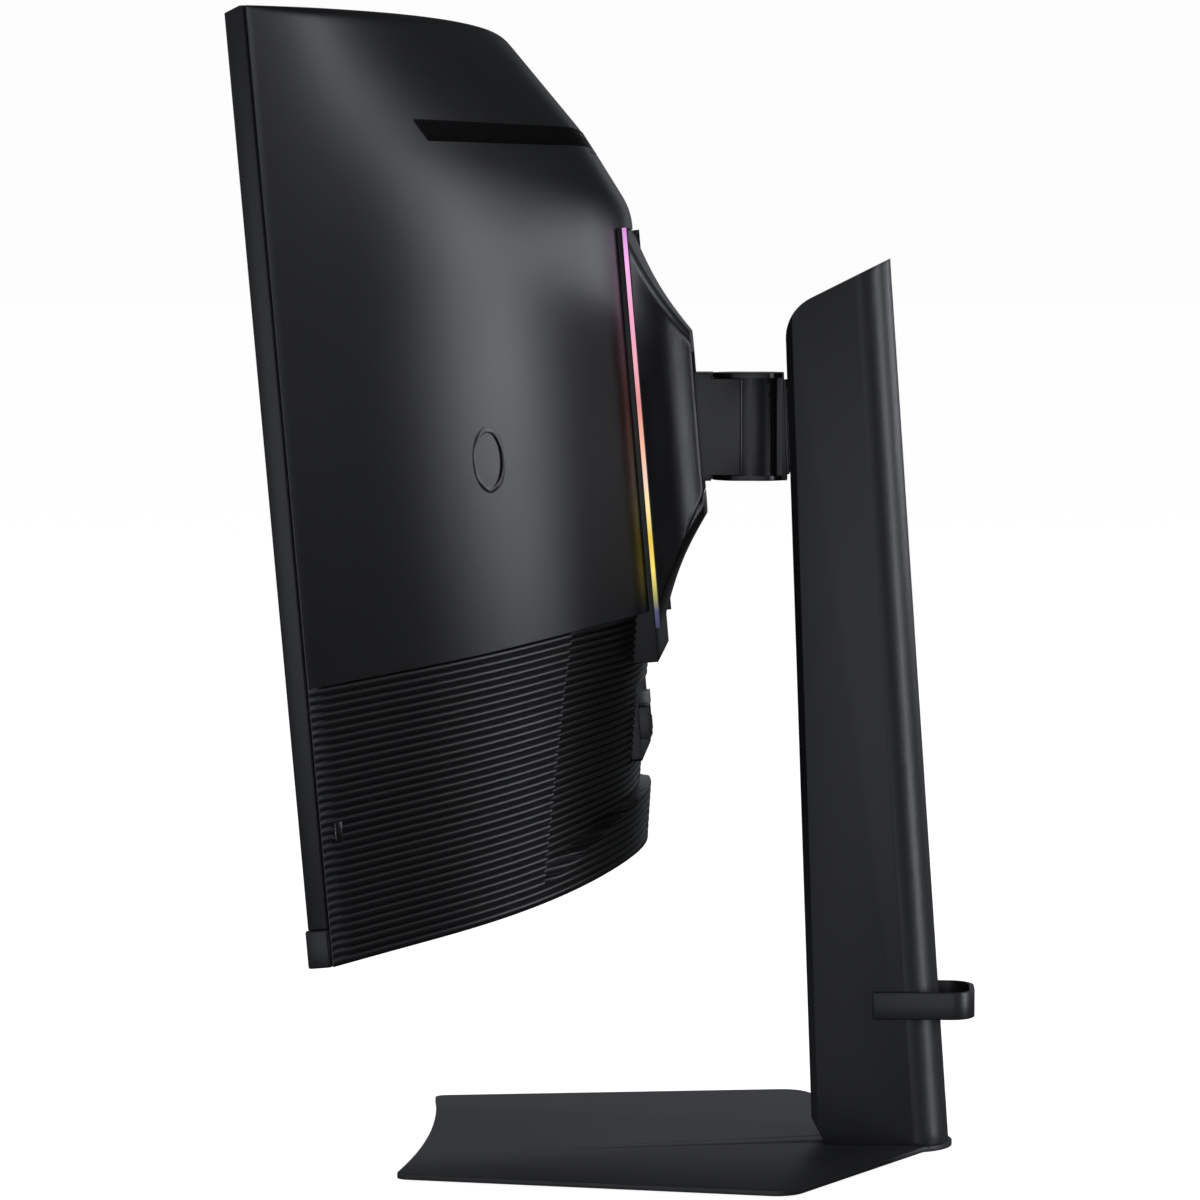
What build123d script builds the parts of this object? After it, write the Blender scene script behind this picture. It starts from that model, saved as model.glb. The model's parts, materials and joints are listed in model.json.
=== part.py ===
"""Curved desktop monitor on a height-adjustable stand, with lit strips beside its rear hub.

Millimetres. X is across the screen, -Y is the way the screen faces, +Z is up. The origin lies on the
desk, under the middle of the column's foot.
"""

import os
from math import cos, radians, sin, sqrt

from build123d import *

os.makedirs("parts", exist_ok=True)

# ---- driving dimensions: screen -------------------------------------------------------------------
SCREEN_RADIUS = 1000.0  # curvature of the screen's front
HALF_W = 416.0  # half the screen's width, measured straight across
TOP, BOTTOM = 244.0, -246.0  # top and bottom of the casing, from its middle height
TILT = 4.92  # forward lean of the screen at rest, degrees
EDGE_MID = (0.0, -314.0, 417.0)  # middle of the line that joins the screen's two front side edges
BEZEL_T = 9.0  # depth of the bezel's side face
BEZEL_WALL = 3.6
CHIN_TOP = -226.0  # top of the bar below the panel
CHIN_PROUD = 1.6
GROOVE = 0.4  # shadow line between bezel and rear shell
WALL = 2.4  # wall of the moulded shells
SPLIT_Z = -103.0  # where the smooth shell meets the ribbed one

# Depth of the casing behind the screen's front, at distances from the middle (one side).
STATIONS = (0.0, 66.0, 120.0, 177.0, 257.0, 320.0, 370.0, 414.5)
FULL = (82.5, 82.0, 69.5, 56.5, 43.0, 31.0, 19.0, 10.8)
FOOT = (62.0, 59.5, 55.8, 51.7, 44.0, 33.0, 20.0, 10.8)
RIM = (14.8, 14.8, 14.8, 14.8, 14.8, 14.8, 14.8, 10.8)
LIP_SHARE = 0.65  # how far the shell has swollen from the rim to its full depth at the vent
SHOULDER_Z, LIP_Z = 133.0, 180.0
PORT_RECESS = 7.0  # depth of the recessed port area in the ribbed shell
RECESS_HEAD_HALF, RECESS_FOOT_HALF = 177.0, 238.0  # its half width at its head and at its foot
RECESS_FOOT_Z, RECESS_ARCH_Z = -237.0, -212.0  # its foot's corners and the top of the arch between them
PORT_Z, PORT_HALF_W, PORT_HALF_H = -170.0, 56.0, 22.0  # the block that holds the sockets
PORT_FRONT_D, PORT_BACK_D = 146.0, 157.0
JOG_D, JOG_Z = 122.0, -238.5  # the jog button's rocking centre
FOOT_SCREWS = ((-300, 66), (-180, 104), (-60, 124), (60, 124), (180, 104), (300, 66))  # x, depth

VENT_LOW, VENT_HIGH, VENT_SAG = (276.0, 173.5), (281.0, 182.0), 3.3  # x, height of the slot's ends
BADGE_X, BADGE_R, BADGE_W, BADGE_SUNK = 258.0, 18.0, 3.4, 1.2  # plain ring on the rear shell
BADGE_DEPTH, BADGE_SLOPE = 42.9, 0.465  # the shell there: its depth and its slope towards the side

# ---- driving dimensions: hub ----------------------------------------------------------------------
HUB_HALF_W, HUB_TOP, HUB_LOW, SKIRT_LOW = 70.5, 121.0, -113.0, -133.0
HUB_MID_Z = 2.4  # middle height of the hub's sections
HUB_BASE_D, HUB_BACK_D = 172.4, 204.8  # depths of the lit strips' base and of the hub's back face
HUB_SECTIONS = (  # depth, half width, half height
    (172.4, 65.8, 118.0),
    (178.0, 55.5, 103.5),
    (184.5, 46.0, 88.5),
    (194.5, 35.5, 70.5),
    (204.8, 28.0, 55.2),
)
ARM_OPENING_W, ARM_OPENING_H = 46.4, 85.0
STRIP_W, STRIP_T = 4.0, 3.2
AXIS_D, AXIS_Z = 182.0, 3.1  # the tilt axis in the screen's frame

# ---- driving dimensions: arm ----------------------------------------------------------------------
ARM_Z, ARM_HALF_H, ARM_HALF_W = 435.0, 32.0, 22.0
HEAD_FRONT_Y, SEAM_Y = -121.0, -83.0  # ends of the swivel head's block
SWIVEL_Y = -79.0  # the swivel axis
DRUM_R, DRUM_BORE, DISC_R, DISC_T = 20.5, 16.5, 23.0, 3.0
SHAFT_R, BUSH_R, BARREL_R, TONGUE_HALF_W = 7.0, 9.0, 16.0, 8.0
KNUCKLE_GAP = 0.5
RUN = 0.05  # radial clearance of running fits
PIN_R, EYE_R, EYE_HALF_W = 5.0, 10.5, 15.0  # tilt pin, and the eye that it passes through
EAR_IN, EAR_OUT = 17.0, 21.0
ARM_BACK = -2.2  # the arm's back, in front of the column's face

# ---- driving dimensions: stand --------------------------------------------------------------------
PLATE_T, FEET_T = 3.0, 1.5
PLATE_TOP = PLATE_T + FEET_T
LEAN = 2.07  # forward lean of the column's front face, degrees
FRONT_Y0 = -40.4  # where that face's plane meets the desk
COLUMN_HALF_W, COLUMN_EDGE, COLUMN_WALL = 22.0, 4.0, 3.0
COLUMN_FOOT_D, COLUMN_HEAD_D, COLUMN_S = 82.2, 63.0, 545.0
BASE_FRONT, BASE_FRONT_HALF, BASE_ARCH = -281.7, 122.0, 8.5
BASE_BACK, BASE_BACK_HALF = -51.0, 157.5
FOOT_TOP = 9.0  # top of the flange inside the column's foot
CHANNEL_HALF_W, CHANNEL_FRONT, CHANNEL_BACK, CHANNEL_T, CHANNEL_TOP = 16.6, 6.0, 48.0, 1.6, 480.0
SLOT_HALF_W, SLOT_LOW, SLOT_HIGH = 8.0, 296.0, 474.0
CARRIAGE_LOW, CARRIAGE_HIGH, CARRIAGE_HALF_W = 405.0, 465.0, 10.8
STRUT_Y, STRUT_R, STRUT_BORE, ROD_R = 25.0, 9.0, 7.0, 4.0
CLIP_LOW, CLIP_H, CLIP_HALF_W, CLIP_FRONT, CLIP_BACK = 81.0, 16.6, 24.0, -4.6, 56.5

BACK = Vector(0, cos(radians(TILT)), sin(radians(TILT)))  # away from the viewer, square to the screen
UP = Vector(0, -sin(radians(TILT)), cos(radians(TILT)))  # up the leaning screen
SCREEN = Plane(origin=EDGE_MID, x_dir=(1, 0, 0), z_dir=UP)
AXIS = SCREEN.from_local_coords((0, AXIS_D, AXIS_Z))  # a point on the tilt axis
SAG = SCREEN_RADIUS - sqrt(SCREEN_RADIUS**2 - HALF_W**2)  # how deep the screen's middle lies
COLUMN = Plane(
    origin=(0, FRONT_Y0, 0),
    x_dir=(1, 0, 0),
    z_dir=(0, -sin(radians(LEAN)), cos(radians(LEAN))),
)


def at_height(z):
    """Plane across the screen's frame at height z: its own y is the depth."""
    return Plane(origin=SCREEN.from_local_coords((0, 0, z)), x_dir=(1, 0, 0), z_dir=UP)


def at_depth(d):
    """Plane parallel to the screen at depth d, facing back: its own x runs towards -X."""
    return Plane(origin=SCREEN.from_local_coords((0, d, 0)), x_dir=(-1, 0, 0), z_dir=BACK)


def at_side(x):
    """Plane across the screen at x: its own x is the depth and its own y the height."""
    return Plane(origin=SCREEN.from_local_coords((x, 0, 0)), x_dir=BACK, z_dir=(1, 0, 0))


def screen_depth(x, offset=0.0):
    """Depth, at x, of the surface that lies offset behind the screen's curved front."""
    return SAG - SCREEN_RADIUS + sqrt((SCREEN_RADIUS + offset) ** 2 - x**2)


def bowed_slab(low, high, front, back, half_w):
    """Solid between two curves parallel to the screen, front and back behind it, low to high."""
    with BuildSketch(at_height(low)) as outline:
        with BuildLine():
            nose = [(x, screen_depth(x, front)) for x in (-half_w, 0, half_w)]
            tail = [(x, screen_depth(x, back)) for x in (half_w, 0, -half_w)]
            ThreePointArc(*nose)
            Line(nose[-1], tail[0])
            ThreePointArc(*tail)
            Line(tail[-1], nose[0])
        make_face()
    extrude(outline.sketch, amount=high - low)


def shell_section(z, depths, inset=0.0, front=BEZEL_T + GROOVE):
    """Section of the rear casing at height z, drawn in by inset all round."""
    with BuildSketch(at_height(z)) as section:
        with BuildLine():
            half = []
            for station, depth in zip(STATIONS, depths):
                x = min(station, STATIONS[-1] - inset)
                half.append((x, max(screen_depth(x) + depth - inset, screen_depth(x, front) + 0.5)))
            outline = [(-x, d) for x, d in reversed(half[1:])] + half
            edge = half[-1][0]
            nose = [(x, screen_depth(x, front)) for x in (edge, 0, -edge)]
            Spline(*outline)
            Line(outline[-1], nose[0])
            ThreePointArc(*nose)
            Line(nose[-1], outline[0])
        make_face()
    return section.sketch


def swollen(share):
    """Depths part of the way from the thin rim to the full casing."""
    return [rim + share * (full - rim) for rim, full in zip(RIM, FULL)]


def casing(low, high, stations, inset=0.0, front=BEZEL_T + GROOVE, sunk=0.0, reach=len(STATIONS)):
    """Solid of the rear casing lofted through (height, depths) stations from low to high.

    Its back is sunk that much deeper in, and it ends at the station that reach counts to.
    """
    sections = [
        shell_section(min(max(z, low), high), [depth - sunk for depth in depths[:reach]], inset, front)
        for z, depths in stations
    ]
    loft(sections, ruled=True)


FLOOR_REACH = 6  # the port area lies inside this station
UPPER = ((SPLIT_Z, FULL), (SHOULDER_Z, FULL), (LIP_Z, swollen(LIP_SHARE)), (TOP, RIM))
LOWER = ((BOTTOM, FOOT), (SPLIT_Z, FULL))


def port_outline(margin):
    """Cuts the prism of the recessed port area, wider towards its foot, out of the part in hand."""
    head = RECESS_HEAD_HALF + margin
    foot = (RECESS_FOOT_HALF + margin, RECESS_FOOT_Z - margin)
    with BuildSketch(at_depth(20)) as outline:
        with BuildLine():
            Polyline((-foot[0], foot[1]), (-head, SPLIT_Z + 1), (head, SPLIT_Z + 1), foot)
            ThreePointArc(foot, (0, RECESS_ARCH_Z - margin), (-foot[0], foot[1]))
        make_face()
    extrude(outline.sketch, amount=180, mode=Mode.SUBTRACT)


# ==== panel stack ==================================================================================
with BuildPart() as front_bezel:
    bowed_slab(CHIN_TOP, TOP, 0, BEZEL_T, HALF_W)
    with BuildSketch(at_depth(-20)):
        with Locations((0, TOP - BEZEL_WALL)):
            Rectangle(2 * (HALF_W - BEZEL_WALL), TOP - CHIN_TOP, align=(Align.CENTER, Align.MAX))
    extrude(amount=150, mode=Mode.SUBTRACT)
    for side in (-1, 1):  # chamfers at the two front top corners
        with BuildSketch(at_side(side * (HALF_W + 1))):
            Polygon((-1, TOP - BEZEL_WALL), (-1, TOP + 1), (8, TOP + 1), (8, TOP), align=None)
        extrude(amount=-12 * side, mode=Mode.SUBTRACT)

with BuildPart() as chin_bar:
    bowed_slab(BOTTOM, CHIN_TOP - 0.2, -CHIN_PROUD, BEZEL_T, HALF_W)

PANEL_W, PANEL_TOP, PANEL_LOW = HALF_W - BEZEL_WALL - 0.2, TOP - BEZEL_WALL - 0.2, CHIN_TOP + 0.2
with BuildPart() as lcd_panel:
    bowed_slab(PANEL_LOW, PANEL_TOP, 0.8, 2.4, PANEL_W)

with BuildPart() as diffuser_sheet:
    bowed_slab(PANEL_LOW + 2, PANEL_TOP - 2, 2.8, 3.4, PANEL_W - 2)

with BuildPart() as light_guide:
    bowed_slab(PANEL_LOW + 2, PANEL_TOP - 2, 3.8, 5.6, PANEL_W - 2)

with BuildPart() as backlight_leds:
    for row in range(6):
        row_z = -190 + row * 78
        bowed_slab(row_z - 4, row_z + 4, 5.8, 6.6, PANEL_W - 20)

with BuildPart() as backlight_tray:
    bowed_slab(PANEL_LOW, PANEL_TOP, 6.8, 8.6, PANEL_W)

# ==== rear casing ==================================================================================
BADGE_PLANE = Plane(  # lies on the shell where the plain ring sits
    origin=SCREEN.from_local_coords((BADGE_X, screen_depth(BADGE_X) + BADGE_DEPTH, 0)),
    x_dir=UP,
    z_dir=(BACK + Vector(BADGE_SLOPE, 0, 0)).normalized(),
)
with BuildPart() as upper_solid:
    casing(SPLIT_Z, TOP, UPPER)

with BuildPart() as upper_hollow:
    casing(SPLIT_Z, TOP - WALL, UPPER, inset=WALL, front=BEZEL_T)

with BuildPart() as rear_cover_upper:
    add(upper_solid.part)
    add(upper_hollow.part, mode=Mode.SUBTRACT)
    with BuildSketch(at_depth(20)):  # vent slot across the top of the back
        (low_x, low_z), (high_x, high_z) = VENT_LOW, VENT_HIGH
        with BuildLine():
            Line((-low_x, low_z), (-high_x, high_z))
            ThreePointArc((-high_x, high_z), (0, high_z - VENT_SAG), (high_x, high_z))
            Line((high_x, high_z), (low_x, low_z))
            ThreePointArc((low_x, low_z), (0, low_z - VENT_SAG), (-low_x, low_z))
        make_face()
    extrude(amount=160, mode=Mode.SUBTRACT)
    with BuildSketch(at_depth(100)):  # seat of the hub
        with Locations((0, (HUB_TOP + SPLIT_Z - 2) / 2)):
            Rectangle(2 * HUB_HALF_W + 0.6, HUB_TOP - SPLIT_Z + 2.6)
    extrude(amount=100, mode=Mode.SUBTRACT)
    with BuildSketch(BADGE_PLANE.offset(-BADGE_SUNK - 0.1)):
        Circle(BADGE_R + 0.2)
        Circle(BADGE_R - BADGE_W - 0.2, mode=Mode.SUBTRACT)
    extrude(amount=8, mode=Mode.SUBTRACT)

with BuildPart() as lower_floor:  # the ribbed shell at the level of the port area's floor
    casing(BOTTOM, SPLIT_Z - GROOVE, LOWER, sunk=PORT_RECESS, reach=FLOOR_REACH)

with BuildPart() as lower_hollow_floor:
    casing(BOTTOM + WALL, SPLIT_Z, LOWER, WALL, BEZEL_T, sunk=PORT_RECESS, reach=FLOOR_REACH)

with BuildPart() as lower_hollow:
    casing(BOTTOM + WALL, SPLIT_Z, LOWER, inset=WALL, front=BEZEL_T)
    port_outline(WALL)
    add(lower_hollow_floor.part)

with BuildPart() as rear_cover_lower:
    casing(BOTTOM, SPLIT_Z - GROOVE, LOWER)
    port_outline(0)
    add(lower_floor.part)
    add(lower_hollow.part, mode=Mode.SUBTRACT)
    with BuildSketch(at_depth(120)):
        with Locations((0, PORT_Z)):
            Rectangle(2 * PORT_HALF_W + 0.6, 2 * PORT_HALF_H + 0.6)
    extrude(amount=60, mode=Mode.SUBTRACT)
    with BuildSketch(at_depth(120)):
        with Locations((0, (SKIRT_LOW + SPLIT_Z) / 2)):
            Rectangle(2 * HUB_HALF_W + 0.6, SPLIT_Z - SKIRT_LOW + 0.6)
    extrude(amount=60, mode=Mode.SUBTRACT)
    with BuildSketch(at_height(BOTTOM - 1)):
        with Locations((0, JOG_D)):
            Circle(9)
    extrude(amount=8, mode=Mode.SUBTRACT)
    with BuildSketch(at_height(BOTTOM - 1)):
        with Locations(*FOOT_SCREWS):
            Circle(1.6)
    extrude(amount=8, mode=Mode.SUBTRACT)
    with BuildSketch(at_height(BOTTOM - 1)):
        with Locations(*FOOT_SCREWS):
            Circle(3.2)
    extrude(amount=2.6, mode=Mode.SUBTRACT)

with BuildPart() as vent_grille:
    bowed_slab(LIP_Z - 13, LIP_Z + 6, 22, 24, 292)

with BuildPart() as badge_ring:
    with BuildSketch(BADGE_PLANE.offset(-BADGE_SUNK)):
        Circle(BADGE_R)
        Circle(BADGE_R - BADGE_W, mode=Mode.SUBTRACT)
    extrude(amount=BADGE_SUNK + 0.3)

with BuildPart() as cover_screws:
    with BuildSketch(at_height(BOTTOM + 0.2)):
        with Locations(*FOOT_SCREWS):
            Circle(3)
    extrude(amount=1.4)
    with BuildSketch(at_height(BOTTOM + 1)):
        with Locations(*FOOT_SCREWS):
            Circle(1.5)
    extrude(amount=8)

# ==== hub ==========================================================================================
HUB_MID = (HUB_TOP + SKIRT_LOW) / 2
with BuildPart() as hub_frame:
    with BuildSketch(at_depth(150)):
        with Locations((0, HUB_MID)):
            Rectangle(2 * HUB_HALF_W, HUB_TOP - SKIRT_LOW)
        with Locations((0, 4)):
            Rectangle(120, 216, mode=Mode.SUBTRACT)
    extrude(amount=HUB_BASE_D - 150)
    with BuildSketch(at_depth(HUB_BASE_D - 1.7)):  # seats of the LED boards
        for side in (-1, 1):
            with Locations((side * (HUB_HALF_W - 2.1), (HUB_TOP + HUB_LOW) / 2)):
                Rectangle(3.4, HUB_TOP - HUB_LOW - 2)
    extrude(amount=3, mode=Mode.SUBTRACT)

with BuildPart() as light_boards:
    with BuildSketch(at_depth(HUB_BASE_D - 1.6)):
        for side in (-1, 1):
            with Locations((side * (HUB_HALF_W - 2.1), (HUB_TOP + HUB_LOW) / 2)):
                Rectangle(3.2, HUB_TOP - HUB_LOW - 2.4)
    extrude(amount=1.2)

with BuildPart() as light_strips:
    with BuildSketch(at_depth(HUB_BASE_D)):
        for side in (-1, 1):
            with Locations((side * (HUB_HALF_W - STRIP_W / 2), (HUB_TOP + HUB_LOW) / 2)):
                Rectangle(STRIP_W, HUB_TOP - HUB_LOW)
    extrude(amount=STRIP_T)


def hub_loft(inset, shift):
    """Flared hub, drawn in by inset, its sections moved forward by shift."""
    sections = []
    for depth, half_w, half_h in HUB_SECTIONS:
        with BuildSketch(at_depth(depth - shift)) as section:
            with Locations((0, HUB_MID_Z)):
                RectangleRounded(2 * (half_w - inset), 2 * (half_h - inset), 9 - inset)
        sections.append(section.sketch)
    return loft(sections)


with BuildPart() as hub_hollow:
    hub_loft(WALL, WALL)
    with BuildSketch(at_depth(HUB_BASE_D - WALL - 1)):
        with Locations((0, HUB_MID_Z)):
            Rectangle(2 * (HUB_SECTIONS[0][1] - WALL), 2 * (HUB_SECTIONS[0][2] - WALL))
    extrude(amount=WALL + 1)
    with BuildSketch(at_depth(HUB_BACK_D - 12)):  # opening for the arm
        with Locations((0, AXIS_Z - 0.5)):
            Rectangle(ARM_OPENING_W, ARM_OPENING_H)
    extrude(amount=20)

with BuildPart() as hub_shell:
    hub_loft(0, 0)
    add(hub_hollow.part, mode=Mode.SUBTRACT)

SEAM_LOW, SEAM_HIGH = (150.0, -149.6), (210.0, -27.4)  # the seam's line in side view: depth, height
SEAM_GAP = 0.7
with BuildPart() as hub_cover:
    add(hub_shell.part)
    with BuildSketch(at_side(-100)):
        Polygon(SEAM_LOW, SEAM_HIGH, (SEAM_HIGH[0], -160), (SEAM_LOW[0], -160), align=None)
    extrude(amount=200, mode=Mode.SUBTRACT)

with BuildPart() as hub_lower_cover:
    add(hub_shell.part)
    with BuildSketch(at_side(-100)):
        below_low = (SEAM_LOW[0], SEAM_LOW[1] - SEAM_GAP)
        below_high = (SEAM_HIGH[0], SEAM_HIGH[1] - SEAM_GAP)
        Polygon(below_low, below_high, (SEAM_HIGH[0], 130), (SEAM_LOW[0], 130), align=None)
    extrude(amount=200, mode=Mode.SUBTRACT)

POST_SPOTS = ((50, 88), (-50, 88), (50, -88), (-50, -88))
SCREW_SPOTS = ((14, AXIS_Z + 22), (-14, AXIS_Z + 22), (14, AXIS_Z - 22), (-14, AXIS_Z - 22))
PLATE_D, PLATE_THICK, BRACKET_D = 147.0, 2.6, 152.6
with BuildPart() as mount_posts:
    with BuildSketch(at_depth(99.4)):
        with Locations(*POST_SPOTS):
            Circle(5)
    extrude(amount=PLATE_D - 99.4)

with BuildPart() as mount_plate:
    with BuildSketch(at_depth(PLATE_D)):
        RectangleRounded(128, 204, 8)
        with Locations(*SCREW_SPOTS):
            Circle(2.05, mode=Mode.SUBTRACT)
    extrude(amount=PLATE_THICK)

with BuildPart() as tilt_bracket:
    with BuildSketch(at_depth(PLATE_D + PLATE_THICK)):
        with Locations((0, AXIS_Z)):
            Rectangle(2 * EAR_OUT, 60)
        with Locations(*SCREW_SPOTS):
            Circle(2.05, mode=Mode.SUBTRACT)
    extrude(amount=BRACKET_D - PLATE_D - PLATE_THICK)
    for ear_x in (-EAR_OUT, EAR_IN):
        with BuildSketch(at_side(ear_x)):
            with Locations(((BRACKET_D - 1 + AXIS_D) / 2, AXIS_Z)):
                Rectangle(AXIS_D - BRACKET_D + 1, 2 * EYE_R)
            with Locations((AXIS_D, AXIS_Z)):
                Circle(EYE_R)
                Circle(PIN_R + RUN, mode=Mode.SUBTRACT)
        extrude(amount=EAR_OUT - EAR_IN)

with BuildPart() as bracket_screws:
    with BuildSketch(at_depth(PLATE_D)):
        with Locations(*SCREW_SPOTS):
            Circle(2)
    extrude(amount=BRACKET_D - PLATE_D)
    with BuildSketch(at_depth(BRACKET_D)):
        with Locations(*SCREW_SPOTS):
            Circle(3.6)
    extrude(amount=2.4)

with BuildPart() as tilt_washers:
    for washer_x in (-EAR_IN + 0.1, EYE_HALF_W + 0.1):
        with BuildSketch(at_side(washer_x)):
            with Locations((AXIS_D, AXIS_Z)):
                Circle(EYE_R - 0.5)
                Circle(PIN_R + RUN, mode=Mode.SUBTRACT)
        extrude(amount=EAR_IN - EYE_HALF_W - 0.2)

# ==== electronics ==================================================================================
BOARD_Z = -148.0
with BuildPart() as main_board:
    with BuildSketch(at_depth(128)):
        with Locations((0, BOARD_Z)):
            Rectangle(150, 100)
    extrude(amount=1.6)

with BuildPart() as board_shield:
    with BuildSketch(at_depth(112)):
        with Locations((0, BOARD_Z)):
            Rectangle(160, 108)
    extrude(amount=1)
    with BuildSketch(at_depth(113)):
        with Locations((0, BOARD_Z)):
            Rectangle(160, 108)
            Rectangle(158, 106, mode=Mode.SUBTRACT)
    extrude(amount=12)

with BuildPart() as power_board:
    with BuildSketch(at_depth(112)):
        with Locations((-140, -20)):
            Rectangle(80, 130)
    extrude(amount=1.6)

# ==== sockets: centre x as seen from behind, centre height, width, height, how far they stand out ===
POWER_SOCKET = ((-38.0, PORT_Z, 26.0, 19.0, 6.0),)
VIDEO_SOCKETS = ((-13.0, PORT_Z, 17.4, 7.6, 3.0), (9.0, PORT_Z, 17.4, 7.6, 3.0))
USB_SOCKETS = ((30.0, PORT_Z + 8, 15.0, 7.8, 3.0), (30.0, PORT_Z - 8, 15.0, 7.8, 3.0))
AUDIO_X, AUDIO_R, AUDIO_BORE = 47.0, 4.6, 1.8

with BuildPart() as port_block:
    with BuildSketch(at_depth(PORT_FRONT_D)):
        with Locations((0, PORT_Z)):
            RectangleRounded(2 * PORT_HALF_W, 2 * PORT_HALF_H, 2)
        for x, z, width, height, _ in POWER_SOCKET + VIDEO_SOCKETS + USB_SOCKETS:
            with Locations((x, z)):
                Rectangle(width, height, mode=Mode.SUBTRACT)
        with Locations((AUDIO_X, PORT_Z)):
            Circle(AUDIO_R, mode=Mode.SUBTRACT)
    extrude(amount=PORT_BACK_D - PORT_FRONT_D)


def sockets(rows, wall):
    """Open-backed rectangular sockets."""
    for x, z, width, height, proud in rows:
        with BuildSketch(at_depth(PORT_FRONT_D)) as body:
            with Locations((x, z)):
                Rectangle(width, height)
        extrude(body.sketch, amount=PORT_BACK_D - PORT_FRONT_D + proud)
        with BuildSketch(at_depth(PORT_FRONT_D + wall)) as hollow:
            with Locations((x, z)):
                Rectangle(width - 2 * wall, height - 2 * wall)
        extrude(hollow.sketch, amount=40, mode=Mode.SUBTRACT)


with BuildPart() as power_inlet:
    sockets(POWER_SOCKET, 1.6)

with BuildPart() as video_sockets:
    sockets(VIDEO_SOCKETS, 1.2)

with BuildPart() as usb_sockets:
    sockets(USB_SOCKETS, 1.2)

with BuildPart() as audio_socket:
    with BuildSketch(at_depth(PORT_FRONT_D)):
        with Locations((AUDIO_X, PORT_Z)):
            Circle(AUDIO_R)
    extrude(amount=PORT_BACK_D - PORT_FRONT_D + 1)
    with BuildSketch(at_depth(PORT_FRONT_D + 1)):
        with Locations((AUDIO_X, PORT_Z)):
            Circle(AUDIO_BORE)
    extrude(amount=20, mode=Mode.SUBTRACT)

# ==== jog button under the screen: it rocks four ways in two rings, and presses ====================
NUB_R, NUB_HOLE_R = 0.8, 0.86
with BuildPart() as jog_holder:
    with BuildSketch(at_height(BOTTOM + WALL)):
        with Locations((0, JOG_D)):
            Circle(17)
            Circle(12.5, mode=Mode.SUBTRACT)
    extrude(amount=8.6)
    with BuildSketch(at_side(-15)):
        with Locations((JOG_D, JOG_Z)):
            Circle(NUB_HOLE_R)
    extrude(amount=30, mode=Mode.SUBTRACT)

with BuildPart() as jog_ring:
    with BuildSketch(at_height(JOG_Z - 2)):
        with Locations((0, JOG_D)):
            Circle(11.8)
            Circle(8.6, mode=Mode.SUBTRACT)
    extrude(amount=4)
    for nub_x in (-14.4, 11.2):
        with BuildSketch(at_side(nub_x)):
            with Locations((JOG_D, JOG_Z)):
                Circle(NUB_R)
        extrude(amount=3.2)
    with BuildSketch(at_depth(JOG_D - 11)):
        with Locations((0, JOG_Z)):
            Circle(NUB_HOLE_R)
    extrude(amount=22, mode=Mode.SUBTRACT)

with BuildPart() as jog_cradle:
    with BuildSketch(at_height(JOG_Z - 2.5)):
        with Locations((0, JOG_D)):
            Circle(7.8)
            Circle(4.06, mode=Mode.SUBTRACT)
    extrude(amount=5)
    for nub_d in (JOG_D - 10.6, JOG_D + 7.2):
        with BuildSketch(at_depth(nub_d)):
            with Locations((0, JOG_Z)):
                Circle(NUB_R)
        extrude(amount=3.4)

with BuildPart() as jog_button:
    with BuildSketch(at_height(JOG_Z - 12.5)):
        with Locations((0, JOG_D)):
            Circle(7)
    extrude(amount=3.8)
    fillet(jog_button.edges().filter_by(GeomType.CIRCLE), 1)
    with BuildSketch(at_height(JOG_Z - 9.5)):
        with Locations((0, JOG_D)):
            Circle(4)
    extrude(amount=13.5)
    with BuildSketch(at_height(JOG_Z + 2.5)):
        with Locations((0, JOG_D)):
            Circle(5.4)
    extrude(amount=1.6)

with BuildPart() as status_lens:
    with BuildSketch(at_height(BOTTOM - 0.6)):
        with Locations((0, screen_depth(0) + 3)):
            Circle(1.5)
    extrude(amount=0.6)

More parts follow.
